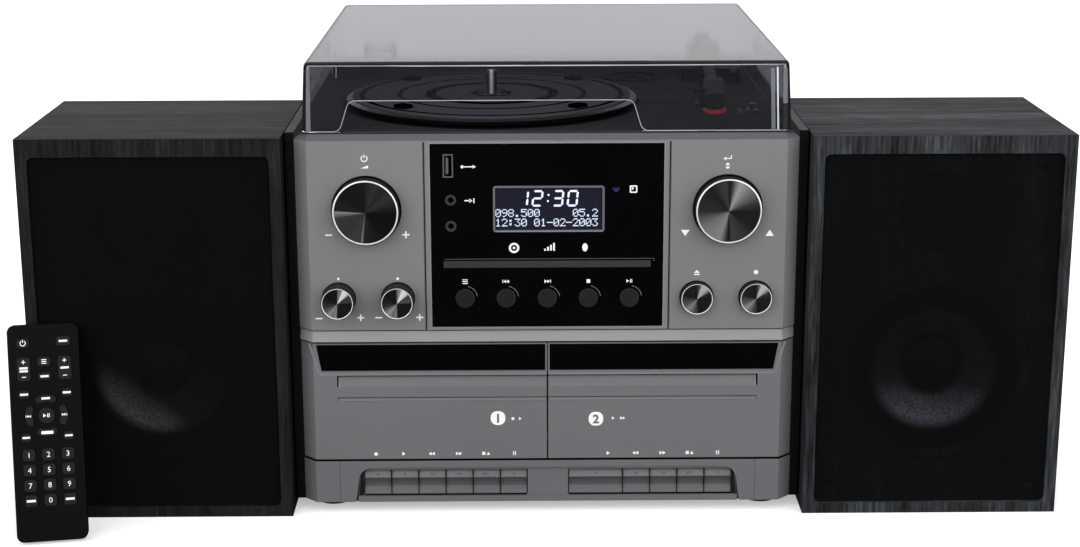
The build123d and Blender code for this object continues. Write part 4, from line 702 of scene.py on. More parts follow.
def grow(name, grown, values, body, points=()):
    tree, ids = grown
    source = bpy.data.meshes.new(name + "_source")
    source.from_pydata(points, [], [])
    holder = bpy.data.objects.new(name + "_source", source)
    modifier = holder.modifiers.new("grow", "NODES")
    modifier.node_group = tree
    for label, value in values.items():
        modifier[ids[label]] = value
    mesh = settled(holder)
    holder.modifiers.remove(modifier)
    bpy.data.objects.remove(holder)
    putPiece(name, mesh, body)


def makeDots():
    # a small block on every point of the source
    tree, given, ids = growTree("dots", {"Dot Size": ("Vector", (0.0005, 0.0001, 0.0005))})
    block = addNode(tree, "GeometryNodeMeshCube", {"Size": given["Dot Size"]})
    closeTree(tree, onPoints(tree, given["Geometry"], block), given)
    return tree, ids


def makeRidges():
    # upright ridges round a circle that faces the front
    tree, given, ids = growTree("ridges", {
        "Count": ("Int", 90), "Radius": ("Float", 0.02), "Ridge Size": ("Vector", (0.0004, 0.0006, 0.005)),
        "Centre": ("Vector", (0, 0, 0)),
    })
    circle = addNode(tree, "GeometryNodeMeshCircle", {"Vertices": given["Count"], "Radius": given["Radius"]})
    block = addNode(tree, "GeometryNodeMeshCube", {"Size": given["Ridge Size"]})
    outward = {"Vector": addNode(tree, "GeometryNodeInputPosition").outputs[0]}
    turn = addNode(tree, "FunctionNodeAlignRotationToVector", outward, axis="X")
    ridges = onPoints(tree, circle.outputs[0], block, Rotation=turn.outputs[0])
    stand = {"Geometry": ridges, "Rotation": (math.radians(90), 0, 0), "Translation": given["Centre"]}
    closeTree(tree, addNode(tree, "GeometryNodeTransform", stand).outputs[0], given)
    return tree, ids


def makeScrews(sides=18, top=0.0019):
    # a round head with a flat top on every point, its axis front to back
    tree, given, ids = growTree("screws", {"Head Radius": ("Float", 0.003), "Head Height": ("Float", 0.0014)})
    head = addNode(tree, "GeometryNodeMeshCone", {
        "Vertices": sides, "Radius Top": top, "Radius Bottom": given["Head Radius"],
        "Depth": given["Head Height"],
    })
    stand = {"Geometry": head.outputs["Mesh"], "Rotation": (math.radians(90), 0, 0)}
    turned = addNode(tree, "GeometryNodeTransform", stand)
    closeTree(tree, onPoints(tree, given["Geometry"], turned), given)
    return tree, ids


# signs that stand for what a control does, drawn about their middle at a size of one

def arrow(x, way=1):
    return [(x - way * 0.3, -0.45), (x + way * 0.4, 0), (x - way * 0.3, 0.45)]


def upright(x, width, height=0.9):
    return rectangle(x, 0, width, height)


def bow(outer, inner, start, end, steps, x=0, z=0):
    # a band along part of a circle
    return arcPoints(x, z, outer, start, end, steps) + arcPoints(x, z, inner, end, start, steps)


signShapes = {
    "minus": [rectangle(0, 0, 1, 0.2)],
    "plus": [rectangle(0, 0, 1, 0.2), rectangle(0, 0.3, 0.2, 0.4), rectangle(0, -0.3, 0.2, 0.4)],
    "up": [[(-0.5, -0.35), (0.5, -0.35), (0, 0.4)]],
    "down": [[(-0.5, 0.35), (0.5, 0.35), (0, -0.4)]],
    "dot": [arcPoints(0, 0, 0.4, steps=16)],
    "stop": [rectangle(0, 0, 0.8, 0.8)],
    "play": [arrow(0)],
    "rewind": [arrow(-0.36, -1), arrow(0.36, -1)],
    "forward": [arrow(-0.36), arrow(0.36)],
    "pause": [upright(-0.22, 0.22), upright(0.22, 0.22)],
    "back": [upright(-0.85, 0.16), arrow(-0.32, -1), arrow(0.42, -1)],
    "next": [arrow(-0.42), arrow(0.32), upright(0.85, 0.16)],
    "playPause": [arrow(-0.45), upright(0.25, 0.18), upright(0.6, 0.18)],
    "stopEject": [rectangle(-0.5, 0, 0.75, 0.75), [(0.15, -0.37), (0.95, -0.37), (0.55, 0.4)]],
    "eject": [[(-0.5, -0.05), (0.5, -0.05), (0, 0.5)], rectangle(0, -0.35, 1, 0.2)],
    "power": [bow(0.5, 0.36, 125, 415, 24), rectangle(0, 0.34, 0.14, 0.5)],
    "wedge": [[(-0.8, -0.3), (0.8, -0.3), (0.8, 0.35)]],
    "enter": [rectangle(0.15, -0.2, 1, 0.16), rectangle(0.57, 0.1, 0.16, 0.5),
              [(-0.3, -0.5), (-0.3, 0.1), (-0.75, -0.2)]],
    "either": [[(-0.4, 0.12), (0.4, 0.12), (0, 0.55)], [(-0.4, -0.12), (0.4, -0.12), (0, -0.55)]],
    "lead": [arcPoints(-0.5, 0, 0.14, steps=12), rectangle(0, 0, 0.9, 0.09),
             [(0.38, -0.16), (0.68, 0), (0.38, 0.16)]],
    "inward": [rectangle(-0.1, 0, 0.8, 0.14), upright(0.66, 0.12, 0.6),
               [(0.1, -0.26), (0.5, 0), (0.1, 0.26)]],
    "disc": [bow(0.5, 0.3, 1, 359, 28), arcPoints(0, 0, 0.12, steps=12)],
    "bars": [rectangle(0.3 * i - 0.45, 0.1 * i - 0.2, 0.18, 0.2 * i + 0.2) for i in range(4)],
    "pill": [[(x, z * 1.5) for x, z in arcPoints(0, 0, 0.3, steps=20)]],
    "mark": [rectangle(0, 0, 1, 0.26)],
    "menu": [rectangle(0, z, 1, 0.16) for z in (0.36, 0, -0.36)],
}


def sign(kind, x, z, size):
    return [[(x + size * px, z + size * pz) for px, pz in outline] for outline in signShapes[kind]]


def printed(signs, y, depth=0.05):
    # the parts of a piece for printed signs, each of them its kind, x, z and size
    return [(prism, outline, y - depth, depth) for one in signs for outline in sign(*one)]


whiteInk = moulded("whiteInk", "fafaf8", 0.5, fleck=0.01)


# legends printed on the fascia and the control panel

fasciaSigns = [
    ("minus", -132, 179, 4.2), ("plus", -85.4, 179, 4.4), ("down", 83.5, 179.4, 5.2), ("up", 134.7, 179, 5.2),
    ("minus", -139.5, 126.6, 4.2), ("plus", -114, 127, 4.2), ("minus", -103, 127, 4.2),
    ("plus", -78, 127, 4.2), ("dot", -127, 151.6, 2.0), ("dot", -91, 151.6, 2.0), ("eject", 91, 154.5, 3.4),
    ("dot", 127, 154.6, 3.4), ("power", -109.5, 226.0, 4.2), ("wedge", -109.5, 220.8, 2.8),
    ("enter", 108.4, 225.8, 3.6), ("either", 108.4, 220.6, 3.8),
]
panelSigns = [
    ("menu", -50, 149.4, 3.2), ("back", -25, 149.4, 2.4), ("next", 0, 149.4, 2.4), ("stop", 25, 149.4, 2.8),
    ("playPause", 50, 149.4, 2.4), ("lead", -47.4, 220.6, 7.0), ("inward", -47.4, 199.8, 5.0),
    ("disc", -20.1, 170.4, 6.4), ("bars", 1.4, 170.4, 6.0), ("pill", 22.9, 170.6, 5.6),
]
panelFace = 0.3
build("fascia_signs", whiteInk, unit, printed(fasciaSigns, 0) + printed(panelSigns, panelFace))
print("fascia signs printed")


# the display's characters: a clock in seven strokes over two rows of dots

displayLook = {
    "face": 1.1, "clock": "12:30", "clockX": -17.6, "clockZ": 196.4, "digitWidth": 6.6, "digitHeight": 10.2,
    "digitPitch": 8.7, "stroke": 1.25, "gap": 0.2, "lean": 0.1, "colonPitch": 3.8, "colonDots": (2.8, 6.6),
    "colonSize": 1.1, "proud": 0.1, "dot": 0.58, "dotPitch": 0.7, "rowX": -31.0, "rowPitch": 3.9,
    "rows": (("098.500     05.2", 191.9), ("12:30 01-02-2003", 186.0)),
}
strokes = {"0": "abcdef", "1": "bc", "2": "abged", "3": "abgcd"}
dotFigures = {
    "0": "01110 10001 10011 10101 11001 10001 01110", "1": "00100 01100 00100 00100 00100 00100 01110",
    "2": "01110 10001 00001 00010 00100 01000 11111", "3": "11111 00010 00100 00010 00001 10001 01110",
    "5": "11111 10000 11110 00001 00001 10001 01110", "8": "01110 10001 10001 01110 10001 10001 01110",
    "9": "01110 10001 10001 01111 00001 00010 01100", ":": "00000 01100 01100 00000 01100 01100 00000",
    "-": "00000 00000 00000 11111 00000 00000 00000", ".": "00000 00000 00000 00000 00000 01100 01100",
    " ": "",
}
displayInk = lit("displayWhite", "ccd6ea", 0.6)


def strokeOutline(which, look):
    w, h, t = look["digitWidth"] - look["stroke"], look["digitHeight"] - look["stroke"], look["stroke"] / 2
    (x0, z0), (x1, z1) = {
        "a": ((0, h), (w, h)), "b": ((w, h), (w, h / 2)), "c": ((w, h / 2), (w, 0)), "d": ((0, 0), (w, 0)),
        "e": ((0, h / 2), (0, 0)), "f": ((0, h), (0, h / 2)), "g": ((0, h / 2), (w, h / 2)),
    }[which]
    if z0 == z1:
        x0, x1 = x0 + look["gap"], x1 - look["gap"]
        return [(x0, z0), (x0 + t, z0 + t), (x1 - t, z0 + t), (x1, z0), (x1 - t, z0 - t), (x0 + t, z0 - t)]
    z0, z1 = z0 - look["gap"], z1 + look["gap"]
    return [(x0, z0), (x0 + t, z0 - t), (x0 + t, z1 + t), (x0, z1), (x0 - t, z1 + t), (x0 - t, z0 - t)]


def clockOutlines(look):
    outlines = []
    cursor = look["clockX"]
    for figure in look["clock"]:
        if figure == ":":
            middles = [(0.4 + look["lean"] * z, z) for z in look["colonDots"]]
            drawn = [rectangle(x, z, look["colonSize"], look["colonSize"]) for x, z in middles]
        else:
            drawn = [strokeOutline(which, look) for which in strokes[figure]]
            drawn = [[(x + look["lean"] * z, z) for x, z in outline] for outline in drawn]
        outlines += [[(cursor + x, look["clockZ"] + z) for x, z in outline] for outline in drawn]
        cursor += look["colonPitch"] if figure == ":" else look["digitPitch"]
    return outlines


def dotPlaces(look):
    pitch, y = look["dotPitch"], look["face"] - 0.05
    places = []
    for text, middle in look["rows"]:
        for i, figure in enumerate(text):
            for row, line in enumerate(dotFigures[figure].split()):
                x, z = look["rowX"] + i * look["rowPitch"], middle + (3 - row) * pitch
                places += [spot(x + k * pitch, y, z) for k, mark in enumerate(line) if mark == "1"]
    return places


strokeFace = displayLook["face"] - displayLook["proud"]
clockParts = [(prism, outline, strokeFace, displayLook["proud"]) for outline in clockOutlines(displayLook)]
build("display_clock", displayInk, unit, clockParts)
dotSize = displayLook["dot"] * mm
grow("display_dots", makeDots(), {"Dot Size": (dotSize, 0.0001, dotSize), "Material": displayInk},
     unit, dotPlaces(displayLook))
print("display characters set")


# spun knob faces with their painted fans of light, their rims painted bright, and ridges round the skirts

knobKinds = {
    "large": {"radius": 20.25, "reach": 8.0, "rim": 1.5, "count": 120, "ridge": 4.6},
    "small": {"radius": 10, "reach": 12.0, "rim": 1.0, "count": 60, "ridge": 7.5},
    "button": {"radius": 10, "reach": 5.0, "rim": 1.0, "count": 0, "ridge": 0},
}
knobForm = {
    "face": ((0.0, -0.25), (0.5, -0.18), (1.0, -0.1), (1.0, 0.3), (0.0, 0.3)),
    "rimInner": ((0.05, -0.1), (0.3, -0.32), (0.55, -0.3)), "rimOuter": ((-0.5, 0.02), (-0.5, 0.25)),
    "rimFoot": (0.05, 0.25), "ridge": (0.0003, 0.0005), "ridgeStart": 1.2,
}
# each knob: its kind, its middle, and the painted highlights of its spun face, brightness by turn round it
knobLooks = {
    "volume": ("large", -109, 194.3, {
        0.0: 0.006, 0.1: 0.03, 0.14: 0.012, 0.2: 0.03, 0.26: 0.008, 0.4: 0.008, 0.46: 0.02, 0.487: 0.01,
        0.492: 0.3, 0.515: 0.14, 0.53: 0.04, 0.62: 0.03, 0.7: 0.05, 0.722: 0.05, 0.728: 0.3,
        0.738: 0.02, 0.85: 0.004, 1.0: 0.006,
    }),
    "scroll": ("large", 109, 194.3, {
        0.0: 0.01, 0.05: 0.05, 0.12: 0.2, 0.19: 0.42, 0.23: 0.06, 0.25: 0.006, 0.27: 0.05, 0.36: 0.008,
        0.5: 0.03, 0.58: 0.2, 0.7: 0.3, 0.735: 0.05, 0.75: 0.005, 0.77: 0.06, 0.9: 0.008, 1.0: 0.01,
    }),
    "bass": ("small", -127, 139, {
        0.0: 0.01, 0.03: 0.05, 0.1: 0.04, 0.13: 0.8, 0.18: 0.9, 0.2: 0.2, 0.23: 0.25, 0.25: 0.01,
        0.4: 0.006, 0.54: 0.03, 0.6: 0.1, 0.65: 0.3, 0.7: 0.2, 0.73: 0.35, 0.75: 0.01, 1.0: 0.01,
    }),
    "treble": ("small", -91, 139, {
        0.0: 0.01, 0.03: 0.1, 0.1: 0.04, 0.13: 0.8, 0.18: 0.9, 0.21: 0.3, 0.24: 0.2, 0.26: 0.01,
        0.4: 0.006, 0.54: 0.03, 0.58: 0.1, 0.64: 0.35, 0.7: 0.16, 0.735: 0.3, 0.76: 0.01, 1.0: 0.01,
    }),
    "eject": ("button", 91, 139, {
        0.0: 0.01, 0.08: 0.03, 0.13: 0.5, 0.19: 0.6, 0.22: 0.1, 0.26: 0.01, 0.45: 0.01, 0.58: 0.12,
        0.64: 0.3, 0.72: 0.1, 0.78: 0.01, 1.0: 0.01,
    }),
    "record_mode": ("button", 127, 139, {
        0.0: 0.01, 0.08: 0.04, 0.13: 0.55, 0.19: 0.65, 0.22: 0.1, 0.26: 0.01, 0.45: 0.01, 0.56: 0.14,
        0.62: 0.34, 0.7: 0.1, 0.78: 0.01, 1.0: 0.01,
    }),
}
# the knobs' turned rims, their near-white tone partly a painted highlight
rimMetalHighlight = turnedMetal("knobRim", "f2f2f4", 0.2, metal=0.25)
ridges = makeRidges()
for body, (kind, x, z, paintedFan) in knobLooks.items():
    look = knobKinds[kind]
    r, y = look["radius"], -look["reach"]
    inner = r - look["rim"]
    face = [(inner * share, y + h) for share, h in knobForm["face"]]
    spun = spunMetal(body + "Spun", paintedFan)
    build(body + "_spun_face", spun, body, [(lathe, x, z, face)], smooth=True)
    rim = [(inner + out, y + h) for out, h in knobForm["rimInner"]]
    rim += [(r + out, y + h) for out, h in knobForm["rimOuter"]]
    rim += [(inner + knobForm["rimFoot"][0], y + knobForm["rimFoot"][1]), rim[0]]
    build(body + "_bright_rim", rimMetalHighlight, body, [(lathe, x, z, rim)], smooth=True, merge=True)
    if look["count"]:
        middle = spot(x, y + knobForm["ridgeStart"] + look["ridge"] / 2, z)
        grow(body + "_ridges", ridges, {
            "Count": look["count"], "Radius": r * mm, "Ridge Size": (*knobForm["ridge"], look["ridge"] * mm),
            "Centre": middle, "Material": finishes["knob"],
        }, body)
print("knob faces turned")


# frames, rims and lamps of the control panel, with painted highlights on its edges and by its buttons, and
# painted shade in its grooves and in the slot

panelLook = {
    "border": (0, 177.8, 142.3, 115.5, 0.8, 1.2), "groove": (74.0, 0.7, 119.4, 236.4), "grooveFace": 0.76,
    "displayEdge": (1.0, 194.5, 67.3, 28.6, 1.3, 1.8), "sill": (1.0, 180.7, 65.1, 0.7),
    "buttons": (-50, -25, 0, 25, 50), "buttonZ": 139.0, "gleam": (7.7, 0.4, 8, 78),
    "jackX": -58.1, "jackZ": (200.2, 184.1), "jackRim": (3.3, 2.5), "jackHole": (2.25, 1.8),
    "port": (-59.5, 221.2, 6.2, 14.3), "portHole": (-59.5, 221.2, 4.6, 12.7),
    "portTongue": (-60.0, 221.2, 1.5, 9.6), "lamp": (41.5, 206.9, 2.0), "lampBar": (41.5, 207.25, 4.6, 0.5),
    "reader": (52.0, 206.5, 4.6, 4.6, 0.7), "readerHole": (52.0, 206.5, 3.0, 3.0, 0.4),
    "readerMark": (51.5, 206.9, 1.2, 1.4), "slotLine": (1.2, 163.5, 127.0, 0.35),
    "slotEnd": (64.7, 162.6, 0.35, 1.8), "slotBar": (0.0, 158.15, 124.6, 0.25), "slotFace": 0.88,
}
panelEdgeHighlight = moulded("panelPaintedHighlight", "a2a2a4", 0.3, 0.5)
paintedGrooveShade = moulded("paintedGrooveShade", "262627", 0.6, shine=0.05)
frameGrey = moulded("displayEdge", "6c6a70", 0.35, 0.2)
gleam = moulded("buttonGleam", "767679", 0.3, 0.2)
softDark = moulded("softDark", "2e2e30", 0.5, fleck=0.02)
portEdge = moulded("portEdge", "5e5e60", 0.4, 0.3)
lampBlue = lit("lampBlue", "0e2250", 0.1)


def onPanel(outline, proud, more=0.0):
    # a plate that stands proud of the control panel, and goes some way into it
    return (prism, outline, panelFace - proud, proud + more)


# a painted highlight round the panel's edge
build("panel_border", panelEdgeHighlight, unit, [(frameRing, *panelLook["border"], -0.08, 0.16)])
# painted shade in the fascia's two upright grooves
grooves = [(prism, outline, panelLook["grooveFace"], 0.04) for outline in pair(*panelLook["groove"])]
build("panel_grooves", paintedGrooveShade, unit, grooves)

border = (frameRing, *panelLook["displayEdge"], panelFace - 0.06, 0.2)
build("display_frame", frameGrey, unit, [border])
# a painted highlight along the display's lower edge
sill = rectangle(*panelLook["sill"])
build("display_sill", panelEdgeHighlight, unit, [onPanel(sill, 0.12, 0.08)])

# painted highlights: pale arcs at the upper right of each function button's hole
reach, thick, start, end = panelLook["gleam"]
for number, x in enumerate(panelLook["buttons"], 1):
    z = panelLook["buttonZ"]
    outline = bow(reach, reach - thick, start, end, 14, x, z)
    build("function_%d_gleam" % number, gleam, unit, [onPanel(outline, 0.04)])

rims = []
for z in panelLook["jackZ"]:
    rims.append((discRing, panelLook["jackX"], z, *panelLook["jackRim"], panelFace - 0.3, 0.3, 36))
    rims.append((discRing, panelLook["jackX"], z, *panelLook["jackHole"], panelFace - 0.12, 0.12, 28))
build("jack_rims", softDark, unit, rims)

edge, mouth = rectangle(*panelLook["port"]), rectangle(*panelLook["portHole"])
build("port_rim", portEdge, unit, [
    (ringPlate, edge, mouth, panelFace - 0.12, 0.3),
    (prism, rectangle(*panelLook["portTongue"]), panelFace + 0.1, 0.3),
])

build("standby_lamp", lampBlue, unit, [
    onPanel(arcPoints(*panelLook["lamp"], 180, 360, 14), 0.05),
    onPanel(rectangle(*panelLook["lampBar"]), 0.06),
])

edge, pane = roundedBox(*panelLook["reader"]), roundedBox(*panelLook["readerHole"])
build("reader_window", whiteInk, unit, [
    (ringPlate, edge, pane, panelFace - 0.05, 0.05), onPanel(rectangle(*panelLook["readerMark"]), 0.05),
])

ledge = [onPanel(rectangle(*panelLook[key]), 0.04) for key in ("slotLine", "slotEnd")]
build("slot_ledge", portEdge, unit, ledge)
# a painted shadow line inside the slot
slotBar = (prism, rectangle(*panelLook["slotBar"]), panelLook["slotFace"], 0.05)
build("slot_lines", softDark, unit, [slotBar])
print("panel trimmed")


# marks of the cassette doors, with painted shadow lines and painted highlights along their edges, pull and
# groove

doorLook = {
    "badge": 4.5, "figure": 7.75, "figureDrop": 2.79, "bold": 0.28, "modeZ": 61.5, "thick": 0.03,
    "window": ((0.5, 90), (139.3, 90), (141.5, 91.6), (146.5, 110.6), (145.3, 110.6), (140.1, 92.1),
               (138.7, 91.5), (0.5, 91.5)),
    "split": (0.3, 0.46, 35.6, 91.5), "end": 129.7, "pull": (89.3, 82.6, 2.0), "groove": (73.4, 75.0, 0.8),
    "lines": (89.65, 75.62), "line": 0.3,
}
doors = {
    "door_1": {
        "side": -1, "badge": ("1", -30.7, 61.9), "signZ": 38.8,
        "modes": (("dot", -21.5, 2.4), ("play", -17.0, 2.4)),
        "signs": (("dot", -106.8, 3.0), ("play", -89.6, 2.9), ("rewind", -72.0, 2.7), ("forward", -55.3, 2.7),
                  ("stopEject", -38.4, 2.7), ("pause", -20.6, 2.8)),
    },
    "door_2": {
        "side": 1, "badge": ("2", 30.0, 61.1), "signZ": 38.6,
        "modes": (("play", 40.6, 2.4), ("forward", 46.4, 2.2)),
        "signs": (("play", 37.6, 2.9), ("rewind", 54.8, 2.7), ("forward", 71.5, 2.7),
                  ("stopEject", 88.4, 2.7), ("pause", 105.9, 2.8)),
    },
}
# painted shadow: black for strips in gaps and seams and along edges where shade falls; painted shade over the
# pull's slope; painted highlights along edges and in the groove's floor
paintedShadowBlack = moulded("paintedShadowBlack", "040404", 0.8, shine=0.05)
pullPaintedShade = satin("pullPaintedShade", "6c6c6f")
paintedEdgeHighlight = satin("paintedEdgeHighlight", "7c7c7f")
grooveFloorHighlight = satin("grooveFloorHighlight", "7e7e80")


def pullSlope(side, near, far, push):
    # part of the finger pull's slope
    high, foot, deep = doorLook["pull"]
    corners = ((near, deep, high), (far, deep, high), (far, 0.0, foot), (near, 0.0, foot))
    return (slab, [(side * x, y, z) for x, y, z in corners], push)


for body, door in doors.items():
    side = door["side"]
    figure, x, z = door["badge"]
    badge = roundedBox(x, z, 2 * doorLook["badge"], 2 * doorLook["badge"], doorLook["badge"] * 0.86, 8)
    rows = [(kind, at, door["signZ"], size) for kind, at, size in door["signs"]]
    rows += [(kind, at, doorLook["modeZ"], size) for kind, at, size in door["modes"]]
    build(body + "_signs", whiteInk, body, [(prism, badge, -0.06, 0.06)] + printed(rows, 0))
    plane = facingFront(x, -0.08, z - doorLook["figureDrop"])
    number = (addText, figure, doorLook["figure"], plane, doorLook["bold"])
    build(body + "_figure", plinthShadedGrey, body, [number])
    thick, end = doorLook["thick"], doorLook["end"]
    # a painted highlight along the window's lower and slanted edges, and one at the pull's end
    window = (prism, [(side * px, pz) for px, pz in doorLook["window"]], -thick, thick)
    rim = pullSlope(side, end - 1.8, end - 1, (0, -0.06, 0.02))
    build(body + "_window_edge", paintedEdgeHighlight, body, [window, rim])
    # painted shadow lines in the split between the doors, at the pull's end, and along the top of the pull
    # and of the groove
    near, far, low, high = doorLook["split"]
    lines = [(prism, strip(side * near, side * far, low, high), -thick, thick)]
    lines.append(pullSlope(side, end - 0.9, end, (0, -0.05, 0.02)))
    for level in doorLook["lines"]:
        lines.append((prism, rectangle(side * end / 2, level, end - 0.6, doorLook["line"]), -0.02, 0.02))
    build(body + "_lines", paintedShadowBlack, body, lines)
    # painted shade over the pull's slope
    slope = pullSlope(side, near + 0.2, end - 1, (0, -0.04, 0.01))
    build(body + "_pull_slope", pullPaintedShade, body, [slope])
    # a painted highlight on the groove's floor
    low, high, deep = doorLook["groove"]
    floor = rectangle(side * (end / 2 + 0.4), (low + high) / 2, end - 1.6, high - low)
    build(body + "_groove_floor", grooveFloorHighlight, body, [(prism, floor, deep - 0.04, 0.04)])
print("cassette doors marked")


# painted shade in the hollows of the keys, painted highlights on their lips and tops, and the keys' signs

keyLook = {
    "plane": (2.5, 22.15, 0.408), "signHeight": 2.1, "signSize": 2.0, "sunk": 0.06, "edge": 0.35, "gap": 0.25,
    "pitch": 17.0, "push": (0, -0.03, 0), "blank": (-12.3, 12.7), "ejectShift": -0.5,
    "starts": {"keybar_1_": -114.6, "keybar_2_": 13.0}, "wide": {"keybar_2_play": 2},
    "hollow": ((3.33, 16.6), (3.57, 17.8), (3.58, 18.8), (3.23, 20.4), (2.52, 21.95)),
    "lip": ((2.3, 11.7), (2.3, 14.3)), "top": ((2.62, 22.4), (3.9, 25.6)),
}
keySigns = {
    "record": "dot", "play": "play", "rewind": "rewind", "forward": "forward", "stop": "stopEject",
    "pause": "pause",
}
keyMark = moulded("keyMark", "4b4b4d", 0.5, 0.1)
# painted shade for the keys' hollows, painted highlights for their lips and tops
keyPaintedShade = moulded("keyPaintedShade", "4c4c4f", 0.5, shine=0.2)
keyPaintedHighlight = moulded("keyPaintedHighlight", "6e6e71", 0.42, 0.1, shine=0.35)


def keySpans(look):
    # where each key starts and ends, and the sign that it carries
    spans = []
    for bank, x in look["starts"].items():
        for key, kind in keySigns.items():
            if bank + key == "keybar_2_record":
                continue
            end = x + look["pitch"] * look["wide"].get(bank + key, 1)
            spans.append((bank + key, kind, x + look["gap"], end - look["gap"]))
            x = end
    return spans


keys = keySpans(keyLook)
for body, kind, near, far in keys + [(unit, None, *keyLook["blank"])]:
    prefix = "key_blank" if kind is None else body
    left, right = near + keyLook["edge"], far - keyLook["edge"]
    # painted shade in each hollow, painted highlights on each lip and top
    for part, finish in (("hollow", keyPaintedShade), ("lip", keyPaintedHighlight), ("top", keyPaintedHighlight)):
        skins = []
        for under, over in zip(keyLook[part], keyLook[part][1:]):
            corners = [(left, *under), (right, *under), (right, *over), (left, *over)]
            skins.append((slab, corners, keyLook["push"]))
        build(prefix + "_" + part, finish, body, skins)
keyY, keyZ, keySlope = keyLook["plane"]
for body, kind, near, far in keys:
    x = (near + far) / 2 + (keyLook["ejectShift"] if kind == "stopEject" else 0)
    face = planeOf((x, keyY, keyZ), (1, 0, 0), (0, keySlope, 1))
    outlines = sign(kind, 0, keyLook["signHeight"], keyLook["signSize"])
    marks = [(plate, outline, face, keyLook["sunk"], keyLook["sunk"] * 2) for outline in outlines]
    build(body + "_sign", keyMark, body, marks)

plinthLook = {
    "half": 144.2, "end": 152.2, "cut": 8.0, "seam": (34.1, 35.45), "seamProud": 0.03, "recess": 1.8,
    "fins": (-114.6, -97.6, -80.6, -63.6, -46.6, -29.6, -12.65, 13.05, 47.0, 64.0, 81.0, 98.0, 115.0),
    "fin": (0.44, 2.1, 8.0, 11.3, 27.3), "step": (129.5, 0.4, 7.6, 34.0),
    "feet": ((-114.6, -12.6, 10.5, 11.7), (13.0, 115.0, 10.5, 11.7), (-114, 114, 7.05, 7.5)),
    "tongue": (0.2, 27.2, 18.3, 7.6, 4.2), "tongueY": 2.6, "tongueEdge": 0.35, "tongueBend": 1.2,
    "wells": ((120.4, 117.6, "404042", 1.0), (117.6, 114.9, "1a1a1b", 0.4)), "wellZ": (7.15, 27.4),
}


def aroundFront(bm, low, high, proud):
    # a strip round the front of the mouldings and their two cut corners
    half, end, cut = plinthLook["half"], plinthLook["end"], plinthLook["cut"]
    for (x0, y0), (x1, y1) in (((-end, cut), (-half, 0)), ((-half, 0), (half, 0)), ((half, 0), (end, cut))):
        across = Vector((x1 - x0, y1 - y0, 0)).normalized()
        push = Vector((across.y, -across.x, 0)) * proud
        slab(bm, [(x0, y0, low), (x1, y1, low), (x1, y1, high), (x0, y0, high)], push)


# painted shadow: black strips along the seam under the doors, in the gaps between the keys, under them and
# along the foot of their recess
wide, front, back, low, high = plinthLook["fin"]
outlines = [strip(x - wide / 2, x + wide / 2, low, high) for x in plinthLook["fins"]]
fins = [(prism, outline, front, back - front) for outline in outlines]
feet = [(prism, strip(*foot), plinthLook["recess"] - 0.04, 0.04) for foot in plinthLook["feet"]]
seam = (aroundFront, *plinthLook["seam"], plinthLook["seamProud"])
build("plinth_lines", paintedShadowBlack, unit, [seam] + fins + feet)


def tongue(edge, lift):
    # the rounded tongue in the middle, larger by its edge
    middle, high, low, wideTop, wideFoot = plinthLook["tongue"]
    corners = [(middle + side * (wide + edge), z) for side, wide, z in (
        (-1, wideTop, high), (-1, wideFoot, low - edge), (1, wideFoot, low - edge), (1, wideTop, high))]
    return (prism, roundedPath(corners, plinthLook["tongueBend"], 4), plinthLook["tongueY"] - lift, 0.3)


# painted shade along the steps at both ends of the keys and round the middle tongue, and a painted highlight
# over the tongue
steps = [(prism, outline, -0.02, 0.02) for outline in pair(*plinthLook["step"])]
edge = tongue(plinthLook["tongueEdge"], 0.03)
build("blank_tongue_edge", keyPaintedShade, unit, steps + [edge])
build("blank_tongue", keyPaintedHighlight, unit, [tongue(0.0, 0.08)])
low, high = plinthLook["wellZ"]
# painted shade in the recess at each end of the keys, darker nearer the keys
for number, (far, near, code, drop) in enumerate(plinthLook["wells"], 1):
    corners = ((near, low), (far + 0.6, low), (far - 0.8, high - 6 * drop), (near, high))
    outlines = [[(side * x, z) for x, z in corners] for side in (-1, 1)]
    wells = [(prism, outline, plinthLook["recess"] - 0.03, 0.03) for outline in outlines]
    wellPaintedShade = moulded("wellPaintedShade%d" % number, code, 0.6, shine=0.1)
    build("key_well_%d" % number, wellPaintedShade, unit, wells)
print("keys marked")


# painted reflections, painted highlights and painted dark bands on the edges and corners of the cover

coverLook = {
    "half": 147.4, "front": 5.5, "back": 295.5, "low": 240.9, "high": 282.7,
    "lean": math.tan(math.radians(3.2)), "corner": 6.0, "edge": 3.0, "notchTop": 259.7, "slope": 5.8,
    "frontNotch": (-124.3, 57.4, -140.4, 140.4), "sideNotch": (20.0, 214.0, 13, 288), "bend": 5.0,
    "line": 0.21, "shineRise": 0.7, "tall": 37.0, "cornerLine": (8.6, 0.5), "lineLean": 0.03,
    "shine": ((-141, 0.05), (-97, 0.07), (-78, 0.35), (60, 0.35), (112, 0.15), (139, 0.05)),
    "panel": (10.2, 12.6, 1.0, 37.4),
}
# painted light and shade on the clear cover: dark bands for what is seen through its rounded top edge and
# corners, pale reflections and bright lines along its top front, corners and lower edge
paintedDarkBand = glossy("coverPaintedDarkBand", "131316", 0.2)
paintedBrightLine = glossy("coverPaintedBrightLine", "c3c8d6", 0.12, 1.4)
paintedSoftReflection = glossy("coverPaintedSoftReflection", "a4a6ae", 0.2, 1.35)
paintedGreyReflection = glossy("coverPaintedGreyReflection", "606066", 0.2, 1.35)


def coverLean(z):
    return coverLook["lean"] * (z - coverLook["low"])


def onFront(x, z):
    return spot(x, coverLook["front"] + coverLean(z), z)


def onSide(y, z):
    return spot(coverLean(z) - coverLook["half"], y, z)


